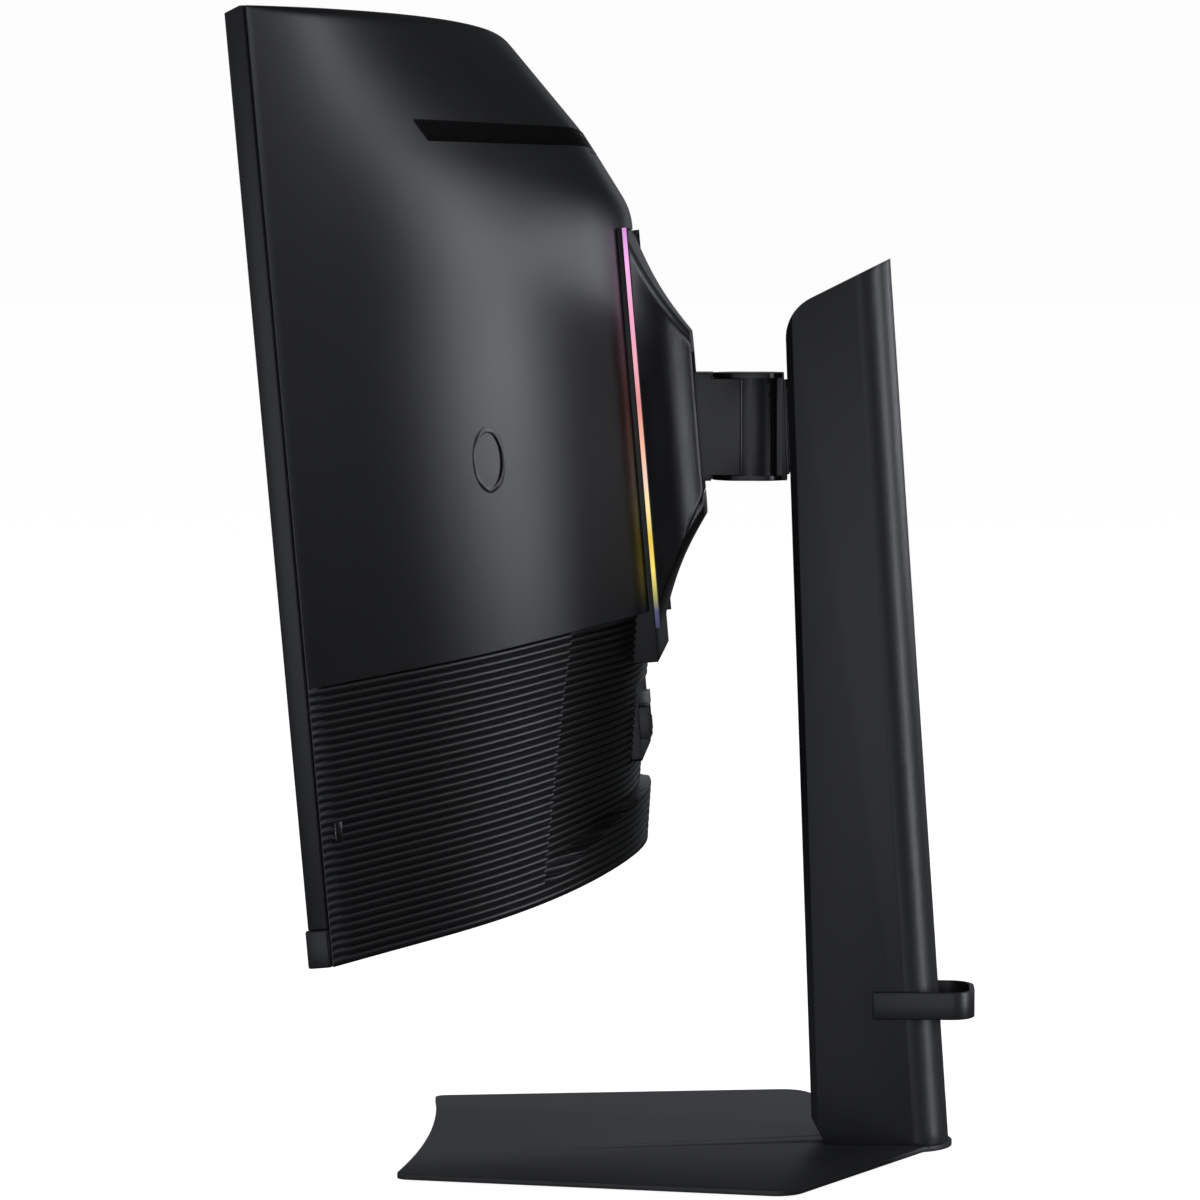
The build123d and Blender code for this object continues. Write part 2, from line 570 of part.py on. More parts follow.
# ==== arm: the swivel head, which turns about the upright shaft ====================================
with BuildPart() as swivel_head:
    with BuildSketch(Plane.XY.offset(ARM_Z - ARM_HALF_H)) as block:
        with BuildLine():
            FilletPolyline(
                (ARM_HALF_W, HEAD_FRONT_Y), (ARM_HALF_W, SEAM_Y), (0, SEAM_Y), radius=2.5
            )
            FilletPolyline(
                (0, SEAM_Y), (-ARM_HALF_W, SEAM_Y), (-ARM_HALF_W, HEAD_FRONT_Y), radius=2.5
            )
            Line((-ARM_HALF_W, HEAD_FRONT_Y), (ARM_HALF_W, HEAD_FRONT_Y))
        make_face()
        with Locations((0, SWIVEL_Y)):
            Circle(DRUM_R + KNUCKLE_GAP, mode=Mode.SUBTRACT)
    extrude(amount=2 * ARM_HALF_H)
    for disc_z in (ARM_Z - ARM_HALF_H - 1, ARM_Z + ARM_HALF_H - DISC_T - 0.4):
        with BuildSketch(Plane.XY.offset(disc_z)):  # room for the knuckle's discs
            with Locations((0, SWIVEL_Y - DISC_R - 1)):
                Rectangle(60, 60, align=(Align.CENTER, Align.MIN))
        extrude(amount=DISC_T + 1.4, mode=Mode.SUBTRACT)
    with BuildSketch(Plane.XY.offset(ARM_Z - ARM_HALF_H + DISC_T + 0.4)):
        with Locations((0, SWIVEL_Y)):
            Circle(BARREL_R)
        with Locations((0, SWIVEL_Y - 12.5)):
            Rectangle(2 * TONGUE_HALF_W, 25)
        with Locations((0, SWIVEL_Y)):
            Circle(BUSH_R + 0.02, mode=Mode.SUBTRACT)
    extrude(amount=2 * (ARM_HALF_H - DISC_T - 0.4))
    with BuildSketch(Plane.YZ.offset(-EYE_HALF_W)):
        with Locations((AXIS.Y, AXIS.Z)):
            Circle(EYE_R)
        with Locations(((AXIS.Y + HEAD_FRONT_Y + 1) / 2, AXIS.Z)):
            Rectangle(HEAD_FRONT_Y + 1 - AXIS.Y, 2 * EYE_R)
    extrude(amount=2 * EYE_HALF_W)
    with BuildSketch(Plane.YZ.offset(-EYE_HALF_W)):
        with Locations((AXIS.Y, AXIS.Z)):
            Circle(PIN_R)
    extrude(amount=2 * EYE_HALF_W, mode=Mode.SUBTRACT)

with BuildPart() as tilt_pin:
    with BuildSketch(Plane.YZ.offset(-EAR_OUT - 0.3)):
        with Locations((AXIS.Y, AXIS.Z)):
            Circle(PIN_R)
    extrude(amount=2 * EAR_OUT + 0.6)
    for head_x in (-EAR_OUT - 3.2, EAR_OUT + 0.2):
        with BuildSketch(Plane.YZ.offset(head_x)):
            with Locations((AXIS.Y, AXIS.Z)):
                RegularPolygon(7.5, 6)
        extrude(amount=3)

with BuildPart() as swivel_bush:
    with BuildSketch(Plane.XY.offset(ARM_Z - ARM_HALF_H + DISC_T + 0.4)):
        with Locations((0, SWIVEL_Y)):
            Circle(BUSH_R)
            Circle(SHAFT_R + RUN, mode=Mode.SUBTRACT)
    extrude(amount=2 * (ARM_HALF_H - DISC_T - 0.4))

# ==== arm: the knuckle, which rides up and down the column =========================================
with BuildPart() as arm_block:
    with BuildSketch(Plane.XY.offset(ARM_Z - ARM_HALF_H)):
        with Locations((0, SWIVEL_Y)):
            Circle(DRUM_R)
        with Locations((0, -62)):
            Rectangle(26, 14)
        with Locations((0, SWIVEL_Y)):
            Circle(DRUM_BORE, mode=Mode.SUBTRACT)
        with Locations((0, SWIVEL_Y)):  # the tongue's way in
            Rectangle(28, 30, align=(Align.CENTER, Align.MAX), mode=Mode.SUBTRACT)
    extrude(amount=2 * ARM_HALF_H)
    for disc_z in (ARM_Z - ARM_HALF_H, ARM_Z + ARM_HALF_H - DISC_T):
        with BuildSketch(Plane.XY.offset(disc_z)):
            with Locations((0, SWIVEL_Y)):
                Circle(DISC_R)
                Rectangle(2 * DRUM_R, 2 * DISC_R, mode=Mode.INTERSECT)
                Circle(SHAFT_R, mode=Mode.SUBTRACT)
        extrude(amount=DISC_T)
    with BuildSketch(COLUMN.offset(380)):
        with Locations((0, ARM_BACK)):
            Rectangle(80, 40, align=(Align.CENTER, Align.MIN))
    extrude(amount=120, mode=Mode.SUBTRACT)

with BuildPart() as swivel_shaft:
    with BuildSketch(Plane.XY.offset(ARM_Z - ARM_HALF_H)):
        with Locations((0, SWIVEL_Y)):
            Circle(SHAFT_R)
    extrude(amount=2 * ARM_HALF_H)


def column_face(depth):
    """Plane parallel to the column's front face, at depth behind it: its own x runs towards -X."""
    return Plane(
        origin=COLUMN.from_local_coords((0, depth, 0)), x_dir=(-1, 0, 0), z_dir=COLUMN.y_dir
    )


ARM_SCREWS = ((0, 425), (0, 445))
SCREW_R, SCREW_HEAD_R, SCREW_SEAT = 2.5, 4.5, 20.0
with BuildPart() as arm_back_plate:
    with BuildSketch(column_face(ARM_BACK)):
        with Locations((0, ARM_Z)):
            Rectangle(28, 56)
        with Locations(*ARM_SCREWS):
            Circle(SCREW_R + 0.05, mode=Mode.SUBTRACT)
    extrude(amount=-ARM_BACK - 0.5)

with BuildPart() as carriage:
    with BuildSketch(COLUMN.offset(CARRIAGE_LOW)):
        with Locations((0, 21)):
            Rectangle(2 * CARRIAGE_HALF_W, 26)
    extrude(amount=CARRIAGE_HIGH - CARRIAGE_LOW)
    with BuildSketch(COLUMN.offset(412)):
        with Locations((0, -0.5)):
            Rectangle(14, 10, align=(Align.CENTER, Align.MIN))
    extrude(amount=46)
    with BuildSketch(column_face(-1)):
        with Locations(*ARM_SCREWS):
            Circle(SCREW_R + 0.05)
    extrude(amount=40, mode=Mode.SUBTRACT)
    with BuildSketch(column_face(SCREW_SEAT)):
        with Locations(*ARM_SCREWS):
            Circle(SCREW_HEAD_R + 0.2)
    extrude(amount=40, mode=Mode.SUBTRACT)

with BuildPart() as carriage_screws:
    with BuildSketch(column_face(ARM_BACK)):
        with Locations(*ARM_SCREWS):
            Circle(SCREW_R)
    extrude(amount=SCREW_SEAT - ARM_BACK)
    with BuildSketch(column_face(SCREW_SEAT)):
        with Locations(*ARM_SCREWS):
            Circle(SCREW_HEAD_R)
    extrude(amount=3)

with BuildPart() as slide_pads:
    for pad_s in (410, 445):
        with BuildSketch(COLUMN.offset(pad_s)):
            for side in (-1, 1):
                with Locations((side * (CARRIAGE_HALF_W + 0.6), 21)):
                    Rectangle(1.2, 12)
        extrude(amount=15)

with BuildPart() as strut_rod:
    with BuildSketch(COLUMN.offset(170)):
        with Locations((0, STRUT_Y)):
            Circle(ROD_R)
    extrude(amount=CARRIAGE_LOW - 170)
    with BuildSketch(COLUMN.offset(165)):
        with Locations((0, STRUT_Y)):
            Circle(STRUT_BORE - RUN)
    extrude(amount=7)

# ==== column =======================================================================================


def column_profile(inset):
    """Solid of the column's side outline, drawn in by inset, wide enough to trim any section."""
    slope = 0.499  # rise of the slanted top
    front_low = (-41.1 + inset, 20 + inset / 2)
    corner = (-58.6 + inset, 503.8 - 1.1 * inset + slope * inset)
    crest = (60, corner[1] + slope * (60 - corner[0]))
    with BuildSketch(Plane.YZ.offset(-30)) as outline:
        with BuildLine():
            FilletPolyline(front_low, corner, crest, radius=26 - inset)
            Polyline(crest, (60, PLATE_TOP), (-32 + inset, PLATE_TOP), front_low)
        make_face()
    return extrude(outline.sketch, amount=60, mode=Mode.INTERSECT)


def column_loft(inset, nose):
    """Upright loft of the column's U-shaped section, drawn in by inset behind nose."""
    half_w = COLUMN_HALF_W - inset
    sections = []
    for s, depth in ((-5, COLUMN_FOOT_D), (COLUMN_S, COLUMN_HEAD_D)):
        flat = depth - COLUMN_HALF_W  # where the half-round back starts
        with BuildSketch(COLUMN.offset(s)) as section:
            with BuildLine():
                Polyline((-half_w, flat), (-half_w, nose[1]), (-nose[0], nose[2]))
                Line((-nose[0], nose[2]), (nose[0], nose[2]))
                Polyline((nose[0], nose[2]), (half_w, nose[1]), (half_w, flat))
                ThreePointArc((half_w, flat), (0, depth - inset), (-half_w, flat))
            make_face()
        sections.append(section.sketch)
    loft(sections, ruled=True)


with BuildPart() as column_hollow:
    column_loft(COLUMN_WALL, (17.5, 6.0, 4.5))
    column_profile(COLUMN_WALL + 1)

FRONT_LOW, FRONT_HIGH, FRONT_HALF_W = 24.0, 478.0, 17.0
with BuildPart() as column_shell:
    column_loft(0, (COLUMN_HALF_W - COLUMN_EDGE - 1, COLUMN_EDGE, -1))
    column_profile(0)
    add(column_hollow.part, mode=Mode.SUBTRACT)
    with BuildSketch(COLUMN.offset(FRONT_LOW)):
        with Locations((0, 2)):
            Rectangle(2 * FRONT_HALF_W, 8)
    extrude(amount=FRONT_HIGH - FRONT_LOW, mode=Mode.SUBTRACT)

with BuildPart() as column_front_cover:
    with BuildSketch(column_face(0)):
        with Locations((0, (FRONT_LOW + FRONT_HIGH) / 2)):
            Rectangle(2 * FRONT_HALF_W - 0.4, FRONT_HIGH - FRONT_LOW - 0.4)
        with Locations((0, (SLOT_LOW + SLOT_HIGH) / 2)):
            RectangleRounded(2 * SLOT_HALF_W, SLOT_HIGH - SLOT_LOW, 2, mode=Mode.SUBTRACT)
    extrude(amount=3)

with BuildPart() as column_frame:
    with BuildSketch(COLUMN.offset(5)):
        with Locations((0, (CHANNEL_FRONT + CHANNEL_BACK) / 2)):
            Rectangle(2 * CHANNEL_HALF_W, CHANNEL_BACK - CHANNEL_FRONT)
        with Locations((0, CHANNEL_BACK - CHANNEL_T)):
            Rectangle(
                2 * (CHANNEL_HALF_W - CHANNEL_T), 60, align=(Align.CENTER, Align.MAX), mode=Mode.SUBTRACT
            )
    extrude(amount=CHANNEL_TOP - 5)
    with BuildSketch(Plane.YZ.offset(-30)):  # foot of the channel, cut to the flange and the shell's chamfer
        Polygon((-70, 0), (70, 0), (70, FOOT_TOP), (-26, FOOT_TOP), (-36, 27), (-70, 27), align=None)
    extrude(amount=60, mode=Mode.SUBTRACT)

with BuildPart() as slide_rails:
    rail_in, rail_out = CARRIAGE_HALF_W + 1.3, CHANNEL_HALF_W - CHANNEL_T
    with BuildSketch(COLUMN.offset(288)):
        for side in (-1, 1):
            with Locations((side * (rail_in + rail_out) / 2, 21)):
                Rectangle(rail_out - rail_in, 14)
    extrude(amount=CHANNEL_TOP - 288)

with BuildPart() as strut_cylinder:
    with BuildSketch(COLUMN.offset(40)):
        with Locations((0, STRUT_Y)):
            Circle(STRUT_R)
    extrude(amount=245)
    with BuildSketch(COLUMN.offset(48)):
        with Locations((0, STRUT_Y)):
            Circle(STRUT_BORE)
    extrude(amount=227, mode=Mode.SUBTRACT)
    with BuildSketch(COLUMN.offset(274)):
        with Locations((0, STRUT_Y)):
            Circle(ROD_R + RUN)
    extrude(amount=20, mode=Mode.SUBTRACT)

with BuildPart() as strut_clamps:
    for clamp_s in (56, 240):
        with BuildSketch(COLUMN.offset(clamp_s)):
            with Locations((0, STRUT_Y)):
                Rectangle(22, CHANNEL_BACK - CHANNEL_T - STRUT_Y, align=(Align.CENTER, Align.MIN))
                Circle(STRUT_R + 0.05, mode=Mode.SUBTRACT)
        extrude(amount=14)

# ==== foot and base ================================================================================
FOOT_SPOTS = ((-11, -13), (11, -13), (-11, 20), (11, 20))
with BuildPart() as foot_flange:
    with BuildSketch(Plane.XY.offset(PLATE_TOP)):
        with Locations((0, -4)):
            Rectangle(36, 42)
        with Locations((0, 17)):
            Circle(18)
        with Locations(*FOOT_SPOTS):
            Circle(3, mode=Mode.SUBTRACT)
    extrude(amount=FOOT_TOP - PLATE_TOP)

with BuildPart() as base_screws:
    with BuildSketch(Plane.XY.offset(FEET_T + 1.6)):
        with Locations(*FOOT_SPOTS):
            Circle(3)
    extrude(amount=FOOT_TOP - FEET_T - 1.6)
    with BuildSketch(Plane.XY.offset(FEET_T + 0.2)):
        with Locations(*FOOT_SPOTS):
            Circle(5.4)
    extrude(amount=1.4)

with BuildPart() as base_plate:
    with BuildSketch(Plane.XY.offset(FEET_T)) as plate:
        with BuildLine():
            ThreePointArc(
                (-BASE_FRONT_HALF, BASE_FRONT), (0, BASE_FRONT + BASE_ARCH), (BASE_FRONT_HALF, BASE_FRONT)
            )
            Polyline((BASE_FRONT_HALF, BASE_FRONT), (BASE_BACK_HALF, BASE_BACK), (26, 26))
            ThreePointArc((26, 26), (0, 43.5), (-26, 26))
            Polyline((-26, 26), (-BASE_BACK_HALF, BASE_BACK), (-BASE_FRONT_HALF, BASE_FRONT))
        make_face()
        fillet(plate.vertices().group_by(Axis.Y)[0], 7)
        fillet(plate.vertices().group_by(Axis.X)[0] + plate.vertices().group_by(Axis.X)[-1], 18)
        with Locations(*FOOT_SPOTS):
            Circle(3.1, mode=Mode.SUBTRACT)
    extrude(amount=PLATE_T)
    with BuildSketch(Plane.XY.offset(FEET_T)):
        with Locations(*FOOT_SPOTS):
            Circle(5.6)
    extrude(amount=1.6, mode=Mode.SUBTRACT)

with BuildPart() as rubber_feet:
    with BuildSketch():
        with Locations((-108, -262), (108, -262), (-134, -62), (134, -62)):
            Circle(9)
        with Locations((0, 3)):
            Circle(5)
    extrude(amount=FEET_T)

with BuildPart() as cable_clip:
    with BuildSketch(Plane.XY.offset(CLIP_LOW)):
        for half_w, back, front, radius, mode in (
            (CLIP_HALF_W, CLIP_BACK, CLIP_FRONT, 15, Mode.ADD),
            (COLUMN_HALF_W, CLIP_BACK - 3.2, CLIP_FRONT - 1, 12.5, Mode.SUBTRACT),
        ):
            with BuildLine() as loop:
                FilletPolyline((half_w, front), (half_w, back), (-half_w, back), (-half_w, front), radius=radius)
                Line((-half_w, front), (half_w, front))
            make_face(loop.edges(), mode=mode)
    extrude(amount=CLIP_H)

PIECES = {
    "front_bezel": front_bezel,
    "chin_bar": chin_bar,
    "lcd_panel": lcd_panel,
    "diffuser_sheet": diffuser_sheet,
    "light_guide": light_guide,
    "backlight_leds": backlight_leds,
    "backlight_tray": backlight_tray,
    "rear_cover_upper": rear_cover_upper,
    "rear_cover_lower": rear_cover_lower,
    "vent_grille": vent_grille,
    "badge_ring": badge_ring,
    "cover_screws": cover_screws,
    "hub_frame": hub_frame,
    "light_boards": light_boards,
    "light_strips": light_strips,
    "hub_cover": hub_cover,
    "hub_lower_cover": hub_lower_cover,
    "mount_posts": mount_posts,
    "mount_plate": mount_plate,
    "tilt_bracket": tilt_bracket,
    "bracket_screws": bracket_screws,
    "tilt_washers": tilt_washers,
    "main_board": main_board,
    "board_shield": board_shield,
    "power_board": power_board,
    "port_block": port_block,
    "power_inlet": power_inlet,
    "video_sockets": video_sockets,
    "usb_sockets": usb_sockets,
    "audio_socket": audio_socket,
    "jog_holder": jog_holder,
    "jog_ring": jog_ring,
    "jog_cradle": jog_cradle,
    "jog_button": jog_button,
    "status_lens": status_lens,
    "swivel_head": swivel_head,
    "tilt_pin": tilt_pin,
    "swivel_bush": swivel_bush,
    "arm_block": arm_block,
    "swivel_shaft": swivel_shaft,
    "arm_back_plate": arm_back_plate,
    "carriage": carriage,
    "carriage_screws": carriage_screws,
    "slide_pads": slide_pads,
    "strut_rod": strut_rod,
    "column_shell": column_shell,
    "column_front_cover": column_front_cover,
    "column_frame": column_frame,
    "slide_rails": slide_rails,
    "strut_cylinder": strut_cylinder,
    "strut_clamps": strut_clamps,
    "foot_flange": foot_flange,
    "base_screws": base_screws,
    "base_plate": base_plate,
    "rubber_feet": rubber_feet,
    "cable_clip": cable_clip,
}
for name, piece in PIECES.items():
    piece.part.label = name
    export_step(piece.part, f"parts/{name}.step")
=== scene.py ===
"""Looks of a curved desktop monitor on a height-adjustable stand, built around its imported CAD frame.

The screen's own sizes are millimetres: x across, d behind the front, z up the leaning screen. They become
metres in the frame of the CAD when ``Lean.point`` places them. All other lengths are metres.
"""

import json
import logging
from collections.abc import Callable, Iterable, Sequence
from dataclasses import dataclass, field
from enum import Enum
from math import cos, radians, sin, sqrt

import bmesh
import bpy
import numpy as np
from mathutils import Matrix, Quaternion, Vector


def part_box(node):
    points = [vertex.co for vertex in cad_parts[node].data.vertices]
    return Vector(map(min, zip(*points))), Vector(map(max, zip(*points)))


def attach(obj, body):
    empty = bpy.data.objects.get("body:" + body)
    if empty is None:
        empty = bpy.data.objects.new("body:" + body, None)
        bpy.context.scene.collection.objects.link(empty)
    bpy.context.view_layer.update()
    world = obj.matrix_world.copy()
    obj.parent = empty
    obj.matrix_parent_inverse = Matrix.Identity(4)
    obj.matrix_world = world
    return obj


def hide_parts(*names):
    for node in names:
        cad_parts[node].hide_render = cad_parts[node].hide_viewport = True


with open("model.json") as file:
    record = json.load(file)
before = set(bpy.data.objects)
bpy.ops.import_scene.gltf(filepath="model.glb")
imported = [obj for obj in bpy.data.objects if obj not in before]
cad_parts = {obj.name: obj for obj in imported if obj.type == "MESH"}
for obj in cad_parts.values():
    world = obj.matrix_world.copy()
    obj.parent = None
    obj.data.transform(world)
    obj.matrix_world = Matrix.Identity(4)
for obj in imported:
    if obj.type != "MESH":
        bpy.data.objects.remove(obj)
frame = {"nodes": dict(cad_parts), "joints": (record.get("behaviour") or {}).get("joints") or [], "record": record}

MM = 0.001
WELD = 0.000002  # vertices closer than this, in metres, are one
FLAT = radians(0.4)  # neighbouring faces that turn less than this are one
CORNER = radians(38.0)  # edges that turn more than this are softened
CAD_CREASE = radians(30.0)  # edges of the CAD's own nodes that turn more than this stay sharp
logging.basicConfig(level=logging.INFO, format="%(message)s")
log = logging.getLogger("monitor")


class Body(Enum):
    """The CAD bodies that a piece may ride on."""

    STAND = "stand"
    LIFT = "lift"
    HEAD = "head"
    SCREEN = "screen"


# ---- shader maths -----------------------------------------------------------------------------------


class Value:
    """A shader socket that takes part in arithmetic."""

    def __init__(self, shader: "Shader", socket: bpy.types.NodeSocket) -> None:
        """Wraps an output socket of the shader."""
        self.shader = shader
        self.socket = socket

    def _math(self, operation: str, *values: "Value | float") -> "Value":
        """Adds a Math node for the operation on the values."""
        return self.shader.node("ShaderNodeMath", {"operation": operation}, dict(enumerate(values)))

    def __add__(self, other: "Value | float") -> "Value":
        """Sum."""
        return self._math("ADD", self, other)

    def __sub__(self, other: "Value | float") -> "Value":
        """Difference."""
        return self._math("SUBTRACT", self, other)

    def __mul__(self, other: "Value | float") -> "Value":
        """Product."""
        return self._math("MULTIPLY", self, other)

    def __truediv__(self, other: "Value | float") -> "Value":
        """Quotient."""
        return self._math("DIVIDE", self, other)

    def clamped(self) -> "Value":
        """The value, held between 0 and 1."""
        return self._math("MINIMUM", self._math("MAXIMUM", self, 0.0), 1.0)

    __radd__ = __add__
    __rmul__ = __mul__


class Shader:
    """A material's node tree around one Principled BSDF."""

    def __init__(self, name: str) -> None:
        """Makes an empty node material.

        Args:
            name: name of the material.
        """
        self.material = bpy.data.materials.new(name)
        self.material.use_nodes = True
        self.tree = self.material.node_tree
        self.surface = self.tree.nodes["Principled BSDF"]

    def node(self, kind: str, settings: dict, inputs: dict, output: int | str = 0) -> Value:
        """Adds a node.

        Args:
            kind: the node's type.
            settings: its properties, and under "stops" a ramp's (place, colour) pairs.
            inputs: its sockets by name or number, as a Value or a constant.
            output: the socket that is handed back.

        Returns:
            The wrapped output.
        """
        made = self.tree.nodes.new(kind)
        for key, setting in settings.items():
            if key == "stops":
                self._ramp(made.color_ramp, setting)
            else:
                setattr(made, key, setting)
        for key, value in inputs.items():
            if isinstance(value, Value):
                self.tree.links.new(value.socket, made.inputs[key])
            else:
                made.inputs[key].default_value = value
        return Value(self, made.outputs[output])

    @staticmethod
    def _ramp(ramp: bpy.types.ColorRamp, stops: Sequence[tuple]) -> None:
        """Sets a colour ramp's stops."""
        while len(ramp.elements) < len(stops):
            ramp.elements.new(0.5)
        for element, (place, colour) in zip(ramp.elements, stops):
            element.position = place
            element.color = (*colour, 1.0)

    def place(self) -> Value:
        """Object coordinates."""
        return self.node("ShaderNodeTexCoord", {}, {}, "Object")

    def noise(self, scale: float, detail: float = 2.0, stretch: tuple = (1.0, 1.0, 1.0)) -> Value:
        """Noise on object coordinates.

        Args:
            scale: waves in a metre.
            detail: octaves.
            stretch: factors along X, Y and Z.
        """
        where = self.node("ShaderNodeMapping", {}, {"Vector": self.place(), "Scale": stretch})
        return self.node("ShaderNodeTexNoise", {}, {"Vector": where, "Scale": scale, "Detail": detail})

    def blend(self, factor: Value, low: tuple, high: tuple) -> Value:
        """Mixes two colours."""
        ends = {0: factor, 6: (*low, 1.0), 7: (*high, 1.0)}
        return self.node("ShaderNodeMix", {"data_type": "RGBA"}, ends, 2)

    def bump(self, height: Value, distance: float, strength: float = 1.0) -> Value:
        """A bumped normal from a height."""
        return self.node(
            "ShaderNodeBump", {}, {"Height": height, "Distance": distance, "Strength": strength}, "Normal"
        )

    def dress(self, **sockets: "Value | float | tuple") -> bpy.types.Material:
        """Sets the surface's sockets.

        Args:
            sockets: values by socket name, with _ for a space.

        Returns:
            The finished material.
        """
        for key, value in sockets.items():
            socket = self.surface.inputs[key.replace("_", " ")]
            if isinstance(value, Value):
                self.tree.links.new(value.socket, socket)
            else:
                socket.default_value = value
        return self.material


# ---- finishes ---------------------------------------------------------------------------------------


def tint(level: float, warmth: float = 0.0) -> tuple[float, float, float]:
    """A near-grey colour, linear, slightly blue, or warmer with warmth above 0."""
    return (level * (0.97 + warmth), level, level * (1.08 - warmth))


@dataclass(frozen=True)
class Moulded:
    """Fine-grained moulded plastic."""

    level: float
    roughness: float = 0.46
    grain: float = 2600.0
    relief: float = 0.00003
    mottle: float = 0.12

    def make(self, name: str) -> bpy.types.Material:
        """Builds the material."""
        shader = Shader(name)
        cloud = shader.noise(14.0, 3.0)
        grain = shader.noise(self.grain, 1.0)
        dark, light = (tint(self.level * (1 + side * self.mottle)) for side in (-1, 1))
        return shader.dress(
            Base_Color=shader.blend(cloud, dark, light),
            Roughness=self.roughness - 0.04 + 0.05 * cloud + 0.03 * grain,
            Normal=shader.bump(grain, self.relief),
        )


@dataclass(frozen=True)
class Coated:
    """Painted metal, with a fine orange peel."""

    level: float
    roughness: float = 0.42
    peel: float = 900.0
    relief: float = 0.00002
    sparkle: float = 0.0

    def make(self, name: str) -> bpy.types.Material:
        """Builds the material."""
        shader = Shader(name)
        cloud = shader.noise(9.0, 2.0)
        peel = shader.noise(self.peel, 2.0)
        mix = cloud + self.sparkle * (peel - 0.5)
        return shader.dress(
            Base_Color=shader.blend(mix, tint(self.level * 0.9), tint(self.level * 1.12)),
            Roughness=self.roughness - 0.03 + 0.06 * cloud,
            Normal=shader.bump(peel, self.relief),
        )


@dataclass(frozen=True)
class Steel:
    """Bare metal with a brushed or plated surface."""

    colour: tuple[float, float, float] = (0.55, 0.55, 0.56)
    roughness: float = 0.34
    stretch: tuple[float, float, float] = (1.0, 1.0, 0.06)

    def make(self, name: str) -> bpy.types.Material:
        """Builds the material."""
        shader = Shader(name)
        lines = shader.noise(1400.0, 3.0, self.stretch)
        dark = tuple(0.86 * part for part in self.colour)
        return shader.dress(
            Base_Color=shader.blend(lines, dark, self.colour),
            Metallic=1.0,
            Roughness=self.roughness - 0.06 + 0.14 * lines,
            Normal=shader.bump(lines, 0.00001),
        )


@dataclass(frozen=True)
class Panel:
    """Dark display film behind an anti-glare surface."""

    def make(self, name: str) -> bpy.types.Material:
        """Builds the material."""
        shader = Shader(name)
        haze = shader.noise(3800.0, 1.0)
        drift = shader.noise(3.0, 1.0)
        return shader.dress(
            Base_Color=shader.blend(drift, (0.004, 0.004, 0.006), (0.008, 0.008, 0.011)),
            Roughness=0.2 + 0.06 * haze,
            Normal=shader.bump(haze, 0.000004),
        )


@dataclass(frozen=True)
class Lit:
    """Milky diffuser, lit from behind in a run of colours up the screen."""

    low: float
    high: float
    up: tuple[float, float, float]
    stops: tuple = (
        (0.0, (0.03, 0.03, 0.1)),
        (0.035, (0.06, 0.06, 0.16)),
        (0.07, (0.33, 0.31, 0.08)),
        (0.14, (0.96, 0.75, 0.14)),
        (0.22, (0.81, 0.56, 0.05)),
        (0.3, (1.0, 0.8, 0.38)),
        (0.38, (0.93, 0.6, 0.5)),
        (0.46, (0.95, 0.48, 0.33)),
        (0.56, (0.76, 0.27, 0.25)),
        (0.66, (0.9, 0.39, 0.47)),
        (0.8, (0.93, 0.37, 0.6)),
        (0.92, (0.96, 0.45, 0.88)),
        (1.0, (0.7, 0.28, 0.72)),
    )
    power: float = 1.0

    def make(self, name: str) -> bpy.types.Material:
        """Builds the material."""
        shader = Shader(name)
        height = shader.node(
            "ShaderNodeVectorMath", {"operation": "DOT_PRODUCT"}, {0: shader.place(), 1: self.up}, "Value"
        )
        share = ((height - self.low) / (self.high - self.low)).clamped()
        colour = shader.node("ShaderNodeValToRGB", {"stops": self.stops}, {"Fac": share})
        return shader.dress(
            Base_Color=(0.12, 0.11, 0.12, 1.0),
            Roughness=0.5 + 0.05 * shader.noise(900.0),
            Emission_Color=colour,
            Emission_Strength=self.power,
        )


@dataclass(frozen=True)
class Sheet:
    """Milky or coloured flat sheet."""

    low: tuple[float, float, float]
    high: tuple[float, float, float]
    scale: float = 60.0
    roughness: float = 0.5

    def make(self, name: str) -> bpy.types.Material:
        """Builds the material."""
        shader = Shader(name)
        marks = shader.noise(self.scale, 3.0)
        return shader.dress(
            Base_Color=shader.blend(marks, self.low, self.high),
            Roughness=self.roughness + 0.1 * marks,
            Normal=shader.bump(marks, 0.00002),
        )


# ---- the leaning screen's frame and the casing's shape ----------------------------------------------


@dataclass(frozen=True)
class Lean:
    """The screen's own frame, found from the joints of the CAD."""

    origin: Vector
    back: Vector
    up: Vector

    @classmethod
    def from_joints(cls, joints: Iterable[dict], axis_d: float = 182.0, axis_z: float = 3.1) -> "Lean":
        """Reads the frame from the tilt hinge and the side-to-side axis of the jog button.

        Args:
            joints: the CAD's joints.
            axis_d: depth of the tilt axis behind the line through the screen's side edges.
            axis_z: height of the tilt axis.
        """
        known = {joint["name"]: joint for joint in joints}
        back = Vector(known["jog_side"]["axis"]).normalized()
        up = Vector((1, 0, 0)).cross(back)
        hinge = Vector(known["screen_tilt"]["pos_m"])
        return cls(hinge - back * axis_d * MM - up * axis_z * MM, back, up)

    def point(self, x: float, d: float, z: float) -> Vector:
        """Places a point given in millimetres."""
        return self.origin + Vector((x * MM, 0, 0)) + self.back * d * MM + self.up * z * MM

    def matrix(self, x: float, d: float, z: float) -> Matrix:
        """Axes across, back and up the screen, at a point."""
        place = self.point(x, d, z)
        return Matrix(
            [
                (1.0, self.back.x, self.up.x, place.x),
                (0.0, self.back.y, self.up.y, place.y),
                (0.0, self.back.z, self.up.z, place.z),
                (0.0, 0.0, 0.0, 1.0),
            ]
        )


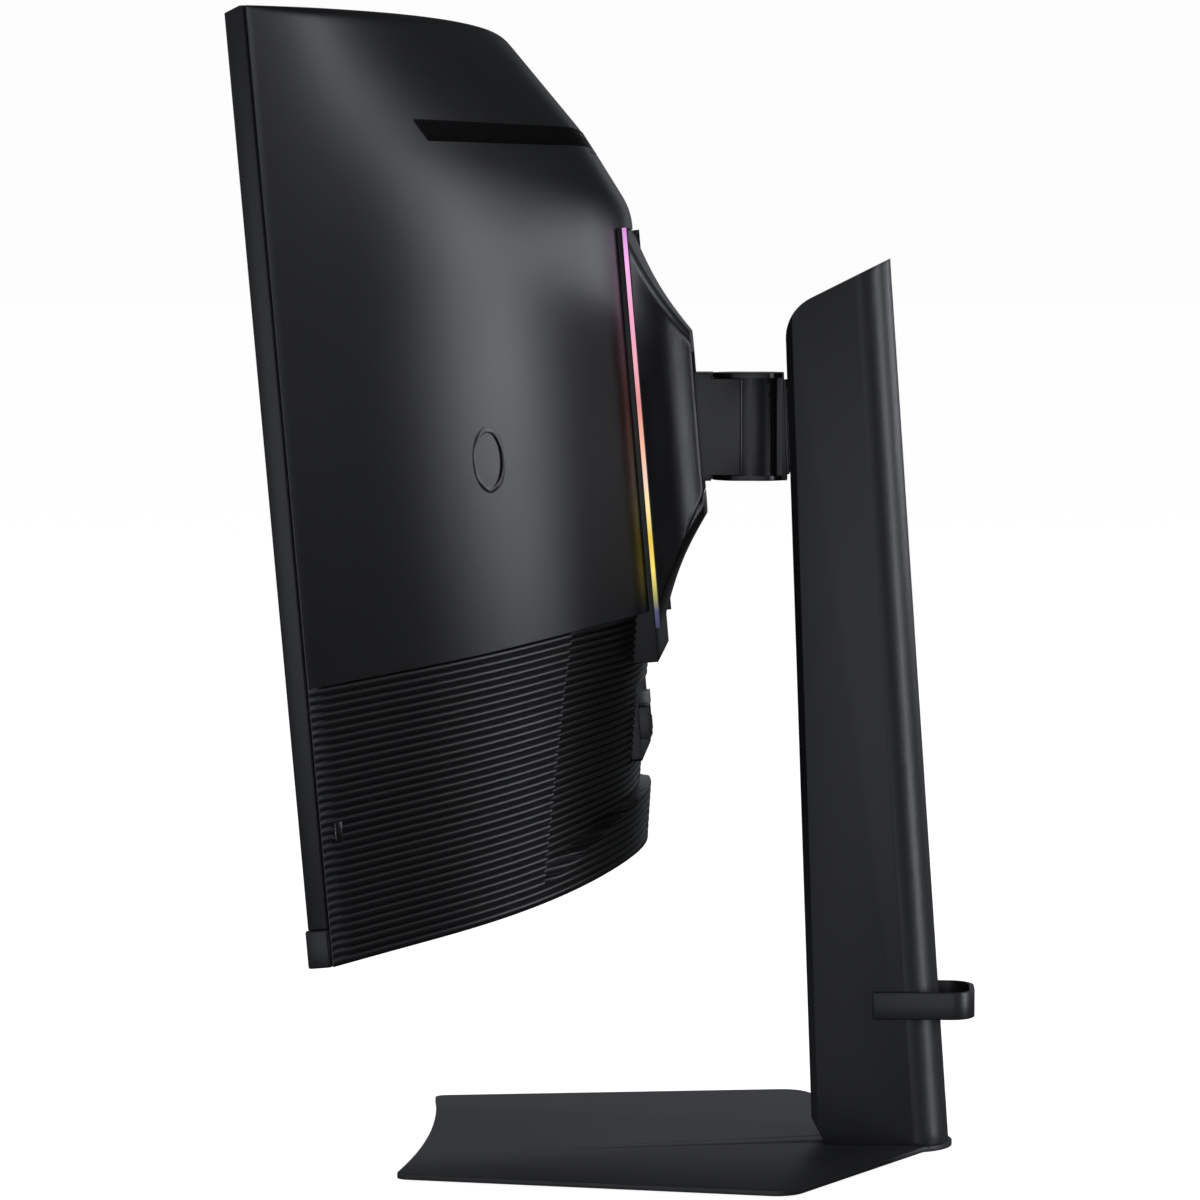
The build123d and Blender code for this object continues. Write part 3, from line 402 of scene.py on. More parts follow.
def smooth_curve(xs: Sequence[float], ys: Sequence[float]) -> Callable[[float], float]:
    """Cubic spline that is even about x = 0.

    Args:
        xs: places from 0 outwards.
        ys: values there.

    Returns:
        The spline as a function.
    """
    x = np.concatenate([-np.array(xs[:0:-1]), xs])
    y = np.concatenate([ys[:0:-1], ys])
    step = np.diff(x)
    count = len(x)
    system = np.eye(count)
    right = np.zeros(count)
    for i in range(1, count - 1):
        system[i, i - 1 : i + 2] = step[i - 1], 2 * (step[i - 1] + step[i]), step[i]
        right[i] = 6 * ((y[i + 1] - y[i]) / step[i] - (y[i] - y[i - 1]) / step[i - 1])
    bend = np.linalg.solve(system, right)

    def value(at: float) -> float:
        """The spline's value."""
        i = int(min(max(np.searchsorted(x, at) - 1, 0), count - 2))
        a, b, h = x[i + 1] - at, at - x[i], step[i]
        return float(
            (bend[i] * a**3 + bend[i + 1] * b**3) / (6 * h)
            + (y[i] / h - bend[i] * h / 6) * a
            + (y[i + 1] / h - bend[i + 1] * h / 6) * b
        )

    return value


@dataclass
class Casing:
    """Shape of the monitor's rear casing, in millimetres of the screen's frame.

    Attributes:
        radius: radius of the screen's curved front.
        half_w: half the screen's width.
        edge: where the casing ends at the side.
        top: height of the casing's top.
        bottom: height of its bottom.
        split: height where the smooth cover meets the ribbed one.
        shoulder: height where the back starts to fall away.
        lip: height of the vent.
        lip_share: how far the casing has swollen there.
        bezel: depth of the bezel's side.
        groove: shadow line between bezel and casing.
        wall: thickness of the covers.
        edge_wall: their thickness at the side edges.
        least: the casing's least depth behind its front rim.
        inner_gap: least depth of the inner side behind that rim.
        softness: how far the shoulder is smoothed in the middle.
        softening: how much more for each millimetre sideways.
        stations: places across at which the next three are given.
        full: depth behind the screen's front, from the shoulder to the split.
        foot: the same along the bottom.
        rim: the same along the top.
    """

    radius: float = 1000.0
    half_w: float = 416.0
    edge: float = 414.5
    top: float = 244.0
    bottom: float = -246.0
    split: float = -103.0
    shoulder: float = 133.0
    lip: float = 180.0
    lip_share: float = 0.65
    bezel: float = 9.0
    groove: float = 0.4
    wall: float = 2.4
    edge_wall: float = 0.8
    least: float = 0.6
    inner_gap: float = 0.1
    softness: float = 4.0
    softening: float = 0.1
    stations: tuple = (0.0, 66.0, 120.0, 177.0, 257.0, 320.0, 370.0, 414.5)
    full: tuple = (82.5, 82.0, 69.5, 56.5, 43.0, 31.0, 19.0, 10.8)
    foot: tuple = (62.0, 59.5, 55.8, 51.7, 44.0, 33.0, 20.0, 10.8)
    rim: tuple = (14.8, 14.8, 14.8, 14.8, 14.8, 14.8, 14.8, 10.8)

    def __post_init__(self) -> None:
        """Works out the sections' curves."""
        bow = [self.screen(x) for x in self.stations]
        self.full_at, self.foot_at, self.rim_at = (
            smooth_curve(self.stations, [b + depth for b, depth in zip(bow, depths)])
            for depths in (self.full, self.foot, self.rim)
        )

    def screen(self, x: float, offset: float = 0.0) -> float:
        """Depth of the surface that lies offset behind the screen's curved front."""
        sag = self.radius - sqrt(self.radius**2 - self.half_w**2)
        return sag - self.radius + sqrt((self.radius + offset) ** 2 - x**2)

    def front(self, x: float) -> float:
        """Depth of the casing's front rim."""
        return self.screen(x, self.bezel + self.groove)

    def share(self, x: float, z: float) -> float:
        """How far the casing has swollen from its rim to its full depth; its shoulder softens sideways."""
        heights = (self.shoulder, self.lip, self.top, self.top + 60)
        shares = (1.0, self.lip_share, 0.0, -0.6)
        softness = self.softness + self.softening * abs(x)
        spread = [z + softness * step / 4 for step in range(-4, 5)]
        return float(np.mean(np.interp(spread, heights, shares)))

    def back(self, x: float, z: float) -> float:
        """Depth of the casing's back at a point."""
        if z < self.split:
            share = (z - self.bottom) / (self.split - self.bottom)
            depth = self.foot_at(x) + share * (self.full_at(x) - self.foot_at(x))
        else:
            depth = self.rim_at(x) + self.share(x, z) * (self.full_at(x) - self.rim_at(x))
        return max(depth, self.front(x) + self.least)

    def inner(self, back: float, front: float) -> float:
        """Depth of the inner side where the outer side is at back and the front rim at front."""
        return max(back - self.wall, front + self.inner_gap) if back > front else back


def stretched(knots: Sequence[float], counts: Sequence[int]) -> list[float]:
    """Values that run evenly between knots.

    Args:
        knots: the ends of the runs.
        counts: how many steps each run has.
    """
    values = [knots[0]]
    for low, high, count in zip(knots, knots[1:], counts):
        values += [low + (high - low) * step / count for step in range(1, count + 1)]
    return values


def skin(
    columns: int,
    rows: int,
    place: Callable[[int, int, bool], Vector],
    hole: Callable[[int, int], bool],
) -> bmesh.types.BMesh:
    """Closed shell made from one grid: its outer side, and an inner side extruded from it.

    Args:
        columns: cells across.
        rows: cells up.
        place: where a grid corner goes, on the outer side or, when the flag is set, the inner one.
        hole: whether a cell is left open.

    Returns:
        The shell.
    """
    shell = bmesh.new()
    bmesh.ops.create_grid(shell, x_segments=columns, y_segments=rows, size=1.0)
    corners = {
        (round(vert.co.x, 6), round(vert.co.y, 6)): (
            round((vert.co.x + 1) / 2 * columns),
            round((vert.co.y + 1) / 2 * rows),
        )
        for vert in shell.verts
    }

    def corner(vert: bmesh.types.BMVert) -> tuple[int, int]:
        """The grid corner that a vertex stands at."""
        return corners[(round(vert.co.x, 6), round(vert.co.y, 6))]

    open_cells = [
        face
        for face in shell.faces
        if hole(min(corner(v)[0] for v in face.verts), min(corner(v)[1] for v in face.verts))
    ]
    bmesh.ops.delete(shell, geom=open_cells, context="FACES")
    made = bmesh.ops.extrude_face_region(shell, geom=list(shell.faces), use_keep_orig=True)
    inner = {item for item in made["geom"] if isinstance(item, bmesh.types.BMVert)}
    places = {vert: place(*corner(vert), vert in inner) for vert in shell.verts}
    for vert, where in places.items():
        vert.co = where
    bmesh.ops.remove_doubles(shell, verts=shell.verts, dist=0.00002)
    bmesh.ops.recalc_face_normals(shell, faces=shell.faces)
    return shell


def block(mesh: bmesh.types.BMesh, matrix: Matrix, size: tuple[float, float, float]) -> None:
    """Adds a box of that size in millimetres, centred on the matrix's place."""
    scale = Matrix.Diagonal((*(side * MM for side in size), 1.0))
    bmesh.ops.create_cube(mesh, size=1.0, matrix=matrix @ scale)


def soften(mesh: bmesh.types.BMesh, edges: list[bmesh.types.BMEdge], width: float, steps: int = 2) -> None:
    """Bevels edges to a width in metres, in that many steps."""
    bmesh.ops.bevel(
        mesh,
        geom=edges,
        offset=width,
        offset_type="OFFSET",
        segments=steps,
        profile=0.5,
        affect="EDGES",
        material=-1,
        clamp_overlap=True,
    )


# ---- the bench: where pieces are finished -----------------------------------------------------------


@dataclass(frozen=True)
class Easing:
    """How a CAD node's edges are softened.

    Attributes:
        node: the CAD node.
        body: the body that it rides on.
        width: width of the softened edges, in metres.
    """

    node: str
    body: Body
    width: float


@dataclass
class Bench:
    """Finishes pieces: names, dresses and mounts them on their bodies."""

    finishes: dict[str, bpy.types.Material] = field(default_factory=dict)

    def mount(
        self,
        mesh: bmesh.types.BMesh,
        name: str,
        body: Body,
        slot: str,
        replaces: Sequence[str] = (),
        crease: float = 32.0,
    ) -> bpy.types.Object:
        """Turns a mesh into a finished piece.

        Args:
            mesh: the piece's shape, in place.
            name: the piece's name.
            body: the body that it rides on.
            slot: the material slot that it takes its finish from.
            replaces: CAD nodes that it stands for.
            crease: edges sharper than this many degrees stay sharp.

        Returns:
            The piece.
        """
        data = bpy.data.meshes.new(name)
        mesh.to_mesh(data)
        mesh.free()
        data.polygons.foreach_set("use_smooth", [True] * len(data.polygons))
        data.set_sharp_from_angle(angle=radians(crease))
        piece = bpy.data.objects.new(name, data)
        bpy.context.scene.collection.objects.link(piece)
        data.materials.append(self.finishes[slot])
        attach(piece, body.value)
        if replaces:
            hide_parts(*replaces)
        log.info("%s: %d faces, on %s", name, len(data.polygons), body.value)
        return piece

    def eased(self, easing: Easing, slot: str) -> bpy.types.Object:
        """Stands a copy with softened edges in for a CAD node.

        Args:
            easing: the node, and how it is softened.
            slot: its material slot.

        Returns:
            The piece.
        """
        copy = bmesh.new()
        copy.from_mesh(frame["nodes"][easing.node].data)
        bmesh.ops.remove_doubles(copy, verts=copy.verts, dist=WELD)
        bmesh.ops.dissolve_limit(copy, angle_limit=FLAT, verts=copy.verts, edges=copy.edges)
        edges = [
            edge
            for edge in copy.edges
            if len(edge.link_faces) == 2 and edge.calc_face_angle(0) > CORNER
        ]
        soften(copy, edges, easing.width)
        return self.mount(copy, f"{easing.node}_finish", easing.body, slot, [easing.node])

    def dress_frame(self) -> None:
        """Gives every CAD node the finish of its slot."""
        for part in frame["record"]["subparts"]:
            data = frame["nodes"][part["node"]].data
            data.materials.clear()
            data.materials.append(self.finishes[part["material_slot"]])
            data.polygons.foreach_set("use_smooth", [True] * len(data.polygons))
            data.set_sharp_from_angle(angle=CAD_CREASE)


# ---- sub-assemblies ---------------------------------------------------------------------------------


@dataclass
class RearCasing:
    """The smooth upper cover, the ribbed lower cover and the vent, in millimetres of the screen's frame.

    Attributes:
        bench: finishes the pieces.
        lean: the screen's frame.
        shape: the casing's shape.
        hub_half_w: half width of the hub's seat.
        hub_top: height of its top.
        skirt_low: height of its skirt's foot.
        slot_low: height of the vent slot's lower edge, in the middle and at its ends.
        slot_high: the same for its upper edge.
        slot_end: where the slot ends across, at its lower and its upper edge.
        corner_share: how much of the casing's depth its rounded top edge takes.
        upper_columns: where the upper cover's columns change their spacing, past the slot.
        lower_columns: the same for the lower cover, past the recess.
        ribs: how many ribs.
        rib_height: how far they stand out.
        rib_roundness: power of the curve across a rib.
        rib_room: the most that a groove takes of the casing's depth.
        rib_steps: places of the rows across one rib, as shares of the pitch.
        foot_roundness: power of the curve round the bottom edge.
        recess: depth of the port recess.
        recess_head: half width of the recess at its head.
        recess_side: half width at its foot.
        recess_foot: height of its foot's corners.
        recess_arch: rise of the arch between them.
        recess_walls: how wide its side wall and its foot's wall are drawn.
        port_half_w: half width of the opening for the port block.
        port_top: height of that opening's top.
        port_low: height of its bottom.
        fin_pitch: distance between the vent's fins.
        fin_lean: how far a fin leans outwards for its height.
        fin_size: a fin's thickness, depth and height.
        fin_sunk: how far its edge lies under the casing's surface.
        plug_place: where the notch plugs are, across and up.
        plug_size: a plug's width, depth and height.
        plug_sunk: how far its middle lies under the surface.
        plug_turn: how far it turns with the surface, in degrees.
        plug_easing: width of its softened edges.
    """

    bench: Bench
    lean: Lean
    shape: Casing = field(default_factory=Casing)
    hub_half_w: float = 70.8
    hub_top: float = 121.3
    skirt_low: float = -133.3
    slot_low: tuple[float, float] = (170.5, 173.5)
    slot_high: tuple[float, float] = (178.5, 182.0)
    slot_end: tuple[float, float] = (276.0, 281.0)
    corner_share: float = 0.8
    upper_columns: tuple = (340.0, 392.0, 410.0)
    lower_columns: tuple = (330.0, 385.0, 410.0)
    ribs: int = 34
    rib_height: float = 1.5
    rib_roundness: float = 2.6
    rib_room: float = 0.55
    rib_steps: tuple = (0.0, 0.07, 0.18, 0.34, 0.5, 0.66, 0.82, 0.93)
    foot_roundness: float = 0.8
    recess: float = 7.0
    recess_head: float = 177.0
    recess_side: float = 238.0
    recess_foot: float = -237.0
    recess_arch: float = 25.0
    recess_walls: tuple[float, float] = (0.7, 0.6)
    port_half_w: float = 56.3
    port_top: float = -147.7
    port_low: float = -192.3
    fin_pitch: float = 3.4
    fin_lean: float = 0.5
    fin_size: tuple[float, float, float] = (1.3, 9.0, 15.0)
    fin_sunk: float = 0.1
    plug_place: tuple[float, float] = (402.0, -178.5)
    plug_size: tuple[float, float, float] = (6.4, 2.6, 10.4)
    plug_sunk: float = 1.45
    plug_turn: float = 31.0
    plug_easing: float = 0.4

    def build(self) -> None:
        """Builds the casing's pieces."""
        self.upper_cover()
        self.lower_cover()
        self.vent_fins()
        self.notch_plugs()

    def slot_edge(self, ends: tuple[float, float], x: float) -> float:
        """Height of one edge of the vent slot."""
        middle, end = ends
        return middle + (end - middle) * (x / self.slot_end[1]) ** 2

    def upper_cover(self) -> None:
        """Builds the smooth cover above the split."""
        shape = self.shape
        across_counts = (8, 26, 12, 7, 4, 2)
        up_counts = (40, 16, 3, 18)
        turn_steps = 6
        flat_steps = 3
        half = sum(across_counts)
        columns = 2 * half + 2
        straight = sum(up_counts)
        rows = straight + turn_steps + flat_steps
        hub_column = across_counts[0]
        slot_column = hub_column + across_counts[1]
        slot_rows = (sum(up_counts[:2]), sum(up_counts[:3]))

        def across(step: int, z: float) -> float:
            """Distance from the middle, for a column."""
            rise = min(max((z - self.slot_low[1]) / (self.slot_high[1] - self.slot_low[1]), 0.0), 1.0)
            end = self.slot_end[0] + rise * (self.slot_end[1] - self.slot_end[0])
            knots = (0.0, self.hub_half_w, end, *self.upper_columns, shape.edge)
            return stretched(knots, across_counts)[step]

        def heights(x: float) -> list[float]:
            """Heights of the straight rows at x."""
            knots = (
                shape.split,
                self.hub_top,
                self.slot_edge(self.slot_low, x),
                self.slot_edge(self.slot_high, x),
                shape.top - 6.0,
            )
            return stretched(knots, up_counts)

        def place(column: int, row: int, inner: bool) -> Vector:
            """Where a grid corner goes."""
            step = min(abs(column - half - 1), half)
            side = 1.0 if column > half + 1 else -1.0
            guess = across(step, 0.0)
            z = heights(guess)[min(row, straight)]
            x = across(step, z)
            z = heights(x)[min(row, straight)]
            back = shape.back(x, z)
            front = shape.front(x)
            if row > straight:
                corner = shape.back(x, shape.top)
                radius = self.corner_share * (corner - front)
                t = min(row - straight, turn_steps) / turn_steps
                back = (1 - t) ** 2 * back + 2 * t * (1 - t) * corner + t * t * (corner - radius)
                z = (1 - t) ** 2 * z + 2 * t * (1 - t) * shape.top + t * t * shape.top
                forward = max(row - straight - turn_steps, 0) / flat_steps
                back += forward * (front - back)
            if abs(column - half - 1) > half:
                back = front
            if inner:
                back = shape.inner(back, front)
                x = min(x, shape.edge - shape.edge_wall)
                z = min(z, shape.top - shape.wall)
            return self.lean.point(side * x, back, z)

        def hole(column: int, row: int) -> bool:
            """The hub's seat and the vent slot are open."""
            step = min(abs(column - half - 1), abs(column - half))
            hub = step < hub_column and row < up_counts[0]
            slot = step < slot_column and slot_rows[0] <= row < slot_rows[1]
            return hub or slot

        shell = skin(columns, rows, place, hole)
        self.bench.mount(
            shell, "rear_cover_upper_shell", Body.SCREEN, "shell_plastic", ["rear_cover_upper"], crease=40.0
        )

    @property
    def ribs_top(self) -> float:
        """Height of the lower cover's top."""
        return self.shape.split - self.shape.groove

    @property
    def rib_pitch(self) -> float:
        """Distance between the ribs."""
        return (self.ribs_top - self.shape.bottom) / self.ribs

    def rib(self, z: float) -> float:
        """Depth of the ribbing's surface below its crests at a height: round ribs, thin grooves."""
        turn = ((self.ribs_top - z) / self.rib_pitch) % 1.0
        return self.rib_height * abs(2 * turn - 1) ** self.rib_roundness

    def recess_half_w(self, z: float) -> float:
        """Half width of the port recess at a height."""
        fall = (self.shape.split - z) / (self.shape.split - self.recess_foot)
        return self.recess_head + fall * (self.recess_side - self.recess_head)

    def in_recess(self, x: float, z: float) -> float:
        """1 inside the recessed port area, 0 outside, with a narrow wall between."""
        floor = self.recess_foot + self.recess_arch * (1 - (x / self.recess_side) ** 2)
        side_wall, foot_wall = self.recess_walls
        side = min(max((self.recess_half_w(z) - x) / side_wall, 0.0), 1.0)
        foot = min(max((z - floor) / foot_wall, 0.0), 1.0)
        return min(side, foot)

    def lower_cover(self) -> None:
        """Builds the ribbed cover below the split, with its recessed port area."""
        shape = self.shape
        steps = [rib + step for rib in range(self.ribs) for step in self.rib_steps]
        heights = [*(self.ribs_top - self.rib_pitch * step for step in steps), shape.bottom]
        for mark in (self.skirt_low, self.port_top, self.port_low):
            nearest = min(range(len(heights)), key=lambda index: abs(heights[index] - mark))
            heights[nearest] = mark
        heights.reverse()
        bottom_steps = 8
        rows = len(heights) - 1 + bottom_steps
        counts = (5, 2, 9, 1, 8, 5, 3, 2)
        half = sum(counts)
        columns = 2 * half + 2
        port_column, skirt_column = counts[0], counts[0] + counts[1]

        def place(column: int, row: int, inner: bool) -> Vector:
            """Where a grid corner goes."""
            step = min(abs(column - half - 1), half)
            side = 1.0 if column > half + 1 else -1.0
            z = heights[max(row - bottom_steps, 0)]
            wall_x = self.recess_half_w(z)
            wall = (wall_x - self.recess_walls[0], wall_x)
            knots = (0.0, self.port_half_w, self.hub_half_w, *wall, *self.lower_columns, shape.edge)
            x = stretched(knots, counts)[step]
            front = shape.front(x)
            back = shape.back(x, z)
            room = back - front
            back -= self.recess * self.in_recess(x, z)
            if not inner and row > bottom_steps:
                back -= min(self.rib(z), self.rib_room * room)
            if row <= bottom_steps:
                back = front + (back - front) * (row / bottom_steps) ** self.foot_roundness
            if abs(column - half - 1) > half:
                back = front
            if inner:
                back = shape.inner(back, front)
                x = min(x, shape.edge - shape.edge_wall)
                z = max(z, shape.bottom + shape.wall)
            return self.lean.point(side * x, back, z)

        def hole(column: int, row: int) -> bool:
            """The hub's skirt and the port block have openings."""
            step = min(abs(column - half - 1), abs(column - half))
            if row < bottom_steps:
                return False
            middle = (heights[row - bottom_steps] + heights[row - bottom_steps + 1]) / 2
            skirt = step < skirt_column and middle > self.skirt_low
            port = step < port_column and self.port_low < middle < self.port_top
            return skirt or port

        shell = skin(columns, rows, place, hole)
        self.bench.mount(
            shell, "rear_cover_lower_shell", Body.SCREEN, "ribbed_plastic", ["rear_cover_lower"], crease=50.0
        )

    def vent_fins(self) -> None:
        """Builds the leaning fins behind the vent slot."""
        fins = bmesh.new()
        count = int(self.slot_end[1] / self.fin_pitch)
        reach = 4.0
        for index in range(-count, count + 1):
            x = index * self.fin_pitch
            middle = (self.slot_edge(self.slot_low, x) + self.slot_edge(self.slot_high, x)) / 2
            below, surface, above = (self.shape.back(abs(x), middle + rise) for rise in (-reach, 0.0, reach))
            matrix = self.lean.matrix(x, surface - self.fin_size[1] / 2 - self.fin_sunk, middle)
            shear = Matrix.Identity(4)
            shear[0][2] = self.fin_lean * ((index > 0) - (index < 0))
            shear[1][2] = (above - below) / (2 * reach)
            block(fins, matrix @ shear, self.fin_size)
        self.bench.mount(fins, "vent_fins", Body.SCREEN, "inner_plastic")

    def notch_plugs(self) -> None:
        """Builds the small plugs that close a notch in the ribs near each side edge. They take the darkest
        plastic, which paints the notch's shade.
        """
        plugs = bmesh.new()
        x, z = self.plug_place
        depth = self.shape.back(x, z) - self.plug_sunk
        for side in (-1, 1):
            turn = Matrix.Rotation(-side * radians(self.plug_turn), 4, "Z")
            block(plugs, self.lean.matrix(side * x, depth, z) @ turn, self.plug_size)
        soften(plugs, list(plugs.edges), self.plug_easing * MM)
        # The darkest finish on the plugs is painted shade: it makes the notch read as a dark hollow.
        self.bench.mount(plugs, "rib_notch_shade_plugs", Body.SCREEN, "ring_plastic")


@dataclass
class Hub:
    """The lit strips beside the hub in their dark channels, and the swivel head's shoulders.

    Lengths are millimetres of the screen's frame, and metres for the shoulders.

    Attributes:
        bench: finishes the pieces.
        lean: the screen's frame.
        edge: half width of the hub.
        base: depth at which the strips stand.
        low: height of their lower ends.
        high: height of their upper ends.
        strip: width and depth of a strip with its channel.
        wall: the channel's wall.
        easing: width of the softened edges.
        seam_y: depth of the shoulders, towards the swivel's discs.
        seam_z: heights of the lower and the upper shoulder.
        shoulder: a shoulder's width, depth and height, in millimetres.
    """

    bench: Bench
    lean: Lean
    edge: float = 70.5
    base: float = 172.4
    low: float = -113.0
    high: float = 121.0
    strip: tuple[float, float] = (4.0, 3.2)
    wall: float = 0.7
    easing: float = 0.12
    seam_y: float = -0.1029
    seam_z: tuple[float, float] = (0.4047, 0.4653)
    shoulder: tuple[float, float, float] = (43.0, 1.2, 3.4)

    def build(self) -> None:
        """Builds the hub's pieces."""
        width, depth = self.strip
        clear = width - self.wall
        lit = (self.edge - clear / 2, 0.0, clear, depth - self.wall)
        back_wall = (self.edge - width / 2, depth - self.wall, width, self.wall)
        inner_wall = (self.edge - width + self.wall / 2, 0.0, self.wall, depth)
        self.bars("light_strip_bars", "light_diffuser", ["light_strips"], [lit])
        self.bars("light_strip_channels", "inner_plastic", [], [back_wall, inner_wall])
        self.shoulders()

    def bars(self, name: str, slot: str, replaces: Sequence[str], sections: Sequence[tuple]) -> None:
        """Builds upright bars at both sides.

        Args:
            name: the piece's name.
            slot: its material slot.
            replaces: CAD nodes that it stands for.
            sections: (middle from the centre line, start behind the base, width, depth) of each bar.
        """
        bars = bmesh.new()
        middle_z = (self.low + self.high) / 2
        for side in (-1, 1):
            for middle, start, width, depth in sections:
                at = self.lean.matrix(side * middle, self.base + start + depth / 2, middle_z)
                block(bars, at, (width, depth, self.high - self.low))
        soften(bars, list(bars.edges), self.easing * MM, steps=1)
        self.bench.mount(bars, name, Body.SCREEN, slot, replaces)

    def shoulders(self) -> None:
        """Builds the edges of the swivel head that close up to the swivel's discs."""
        edges = bmesh.new()
        for z in self.seam_z:
            block(edges, Matrix.Translation((0.0, self.seam_y, z)), self.shoulder)
        self.bench.mount(edges, "swivel_head_shoulders", Body.HEAD, "arm_paint")


EASED = (
    Easing("front_bezel", Body.SCREEN, 0.0007),
    Easing("chin_bar", Body.SCREEN, 0.001),
    Easing("badge_ring", Body.SCREEN, 0.00025),
    Easing("hub_frame", Body.SCREEN, 0.0006),
    Easing("port_block", Body.SCREEN, 0.0004),
    Easing("power_inlet", Body.SCREEN, 0.0004),
    Easing("hub_cover", Body.SCREEN, 0.0006),
    Easing("hub_lower_cover", Body.SCREEN, 0.0005),
    Easing("swivel_head", Body.HEAD, 0.0006),
    Easing("arm_block", Body.LIFT, 0.0007),
    Easing("arm_back_plate", Body.LIFT, 0.0003),
    Easing("column_shell", Body.STAND, 0.0008),
    Easing("column_front_cover", Body.STAND, 0.0005),
    Easing("base_plate", Body.STAND, 0.0009),
    Easing("cable_clip", Body.STAND, 0.0008),
    Easing("rubber_feet", Body.STAND, 0.0004),
)


@dataclass(frozen=True)
class Softbox:
    """A rectangular light.

    Attributes:
        name: the light's name.
        place: where it hangs.
        aim: the point that it faces.
        size: width and height.
        power: watts.
        spin: turn about its own axis, in degrees.
    """

    name: str
    place: tuple[float, float, float]
    aim: tuple[float, float, float]
    size: tuple[float, float]
    power: float
    spin: float = 0.0


SOFTBOXES = (
    Softbox("key", (-1.72, 2.16, 0.88), (0.2, -0.2, 0.5), (0.45, 1.3), 8.0, 28.0),
    Softbox("rim", (0.9, 2.95, 0.6), (0.0, 0.0, 0.35), (0.34, 2.2), 60.0),
    Softbox("fill", (3.8, -0.2, 0.3), (0.0, -0.2, 0.3), (3.2, 2.9), 31.0),
    Softbox("skim", (-3.6, -0.6, 0.7), (0.0, -0.1, 0.0), (2.4, 1.0), 2.5),
    Softbox("top", (0.2, 0.2, 3.0), (0.0, 0.0, 0.0), (1.6, 1.6), 6.0),
    Softbox("front", (1.3, -3.6, 1.5), (0.0, -0.25, 0.4), (2.6, 1.8), 30.0),
)


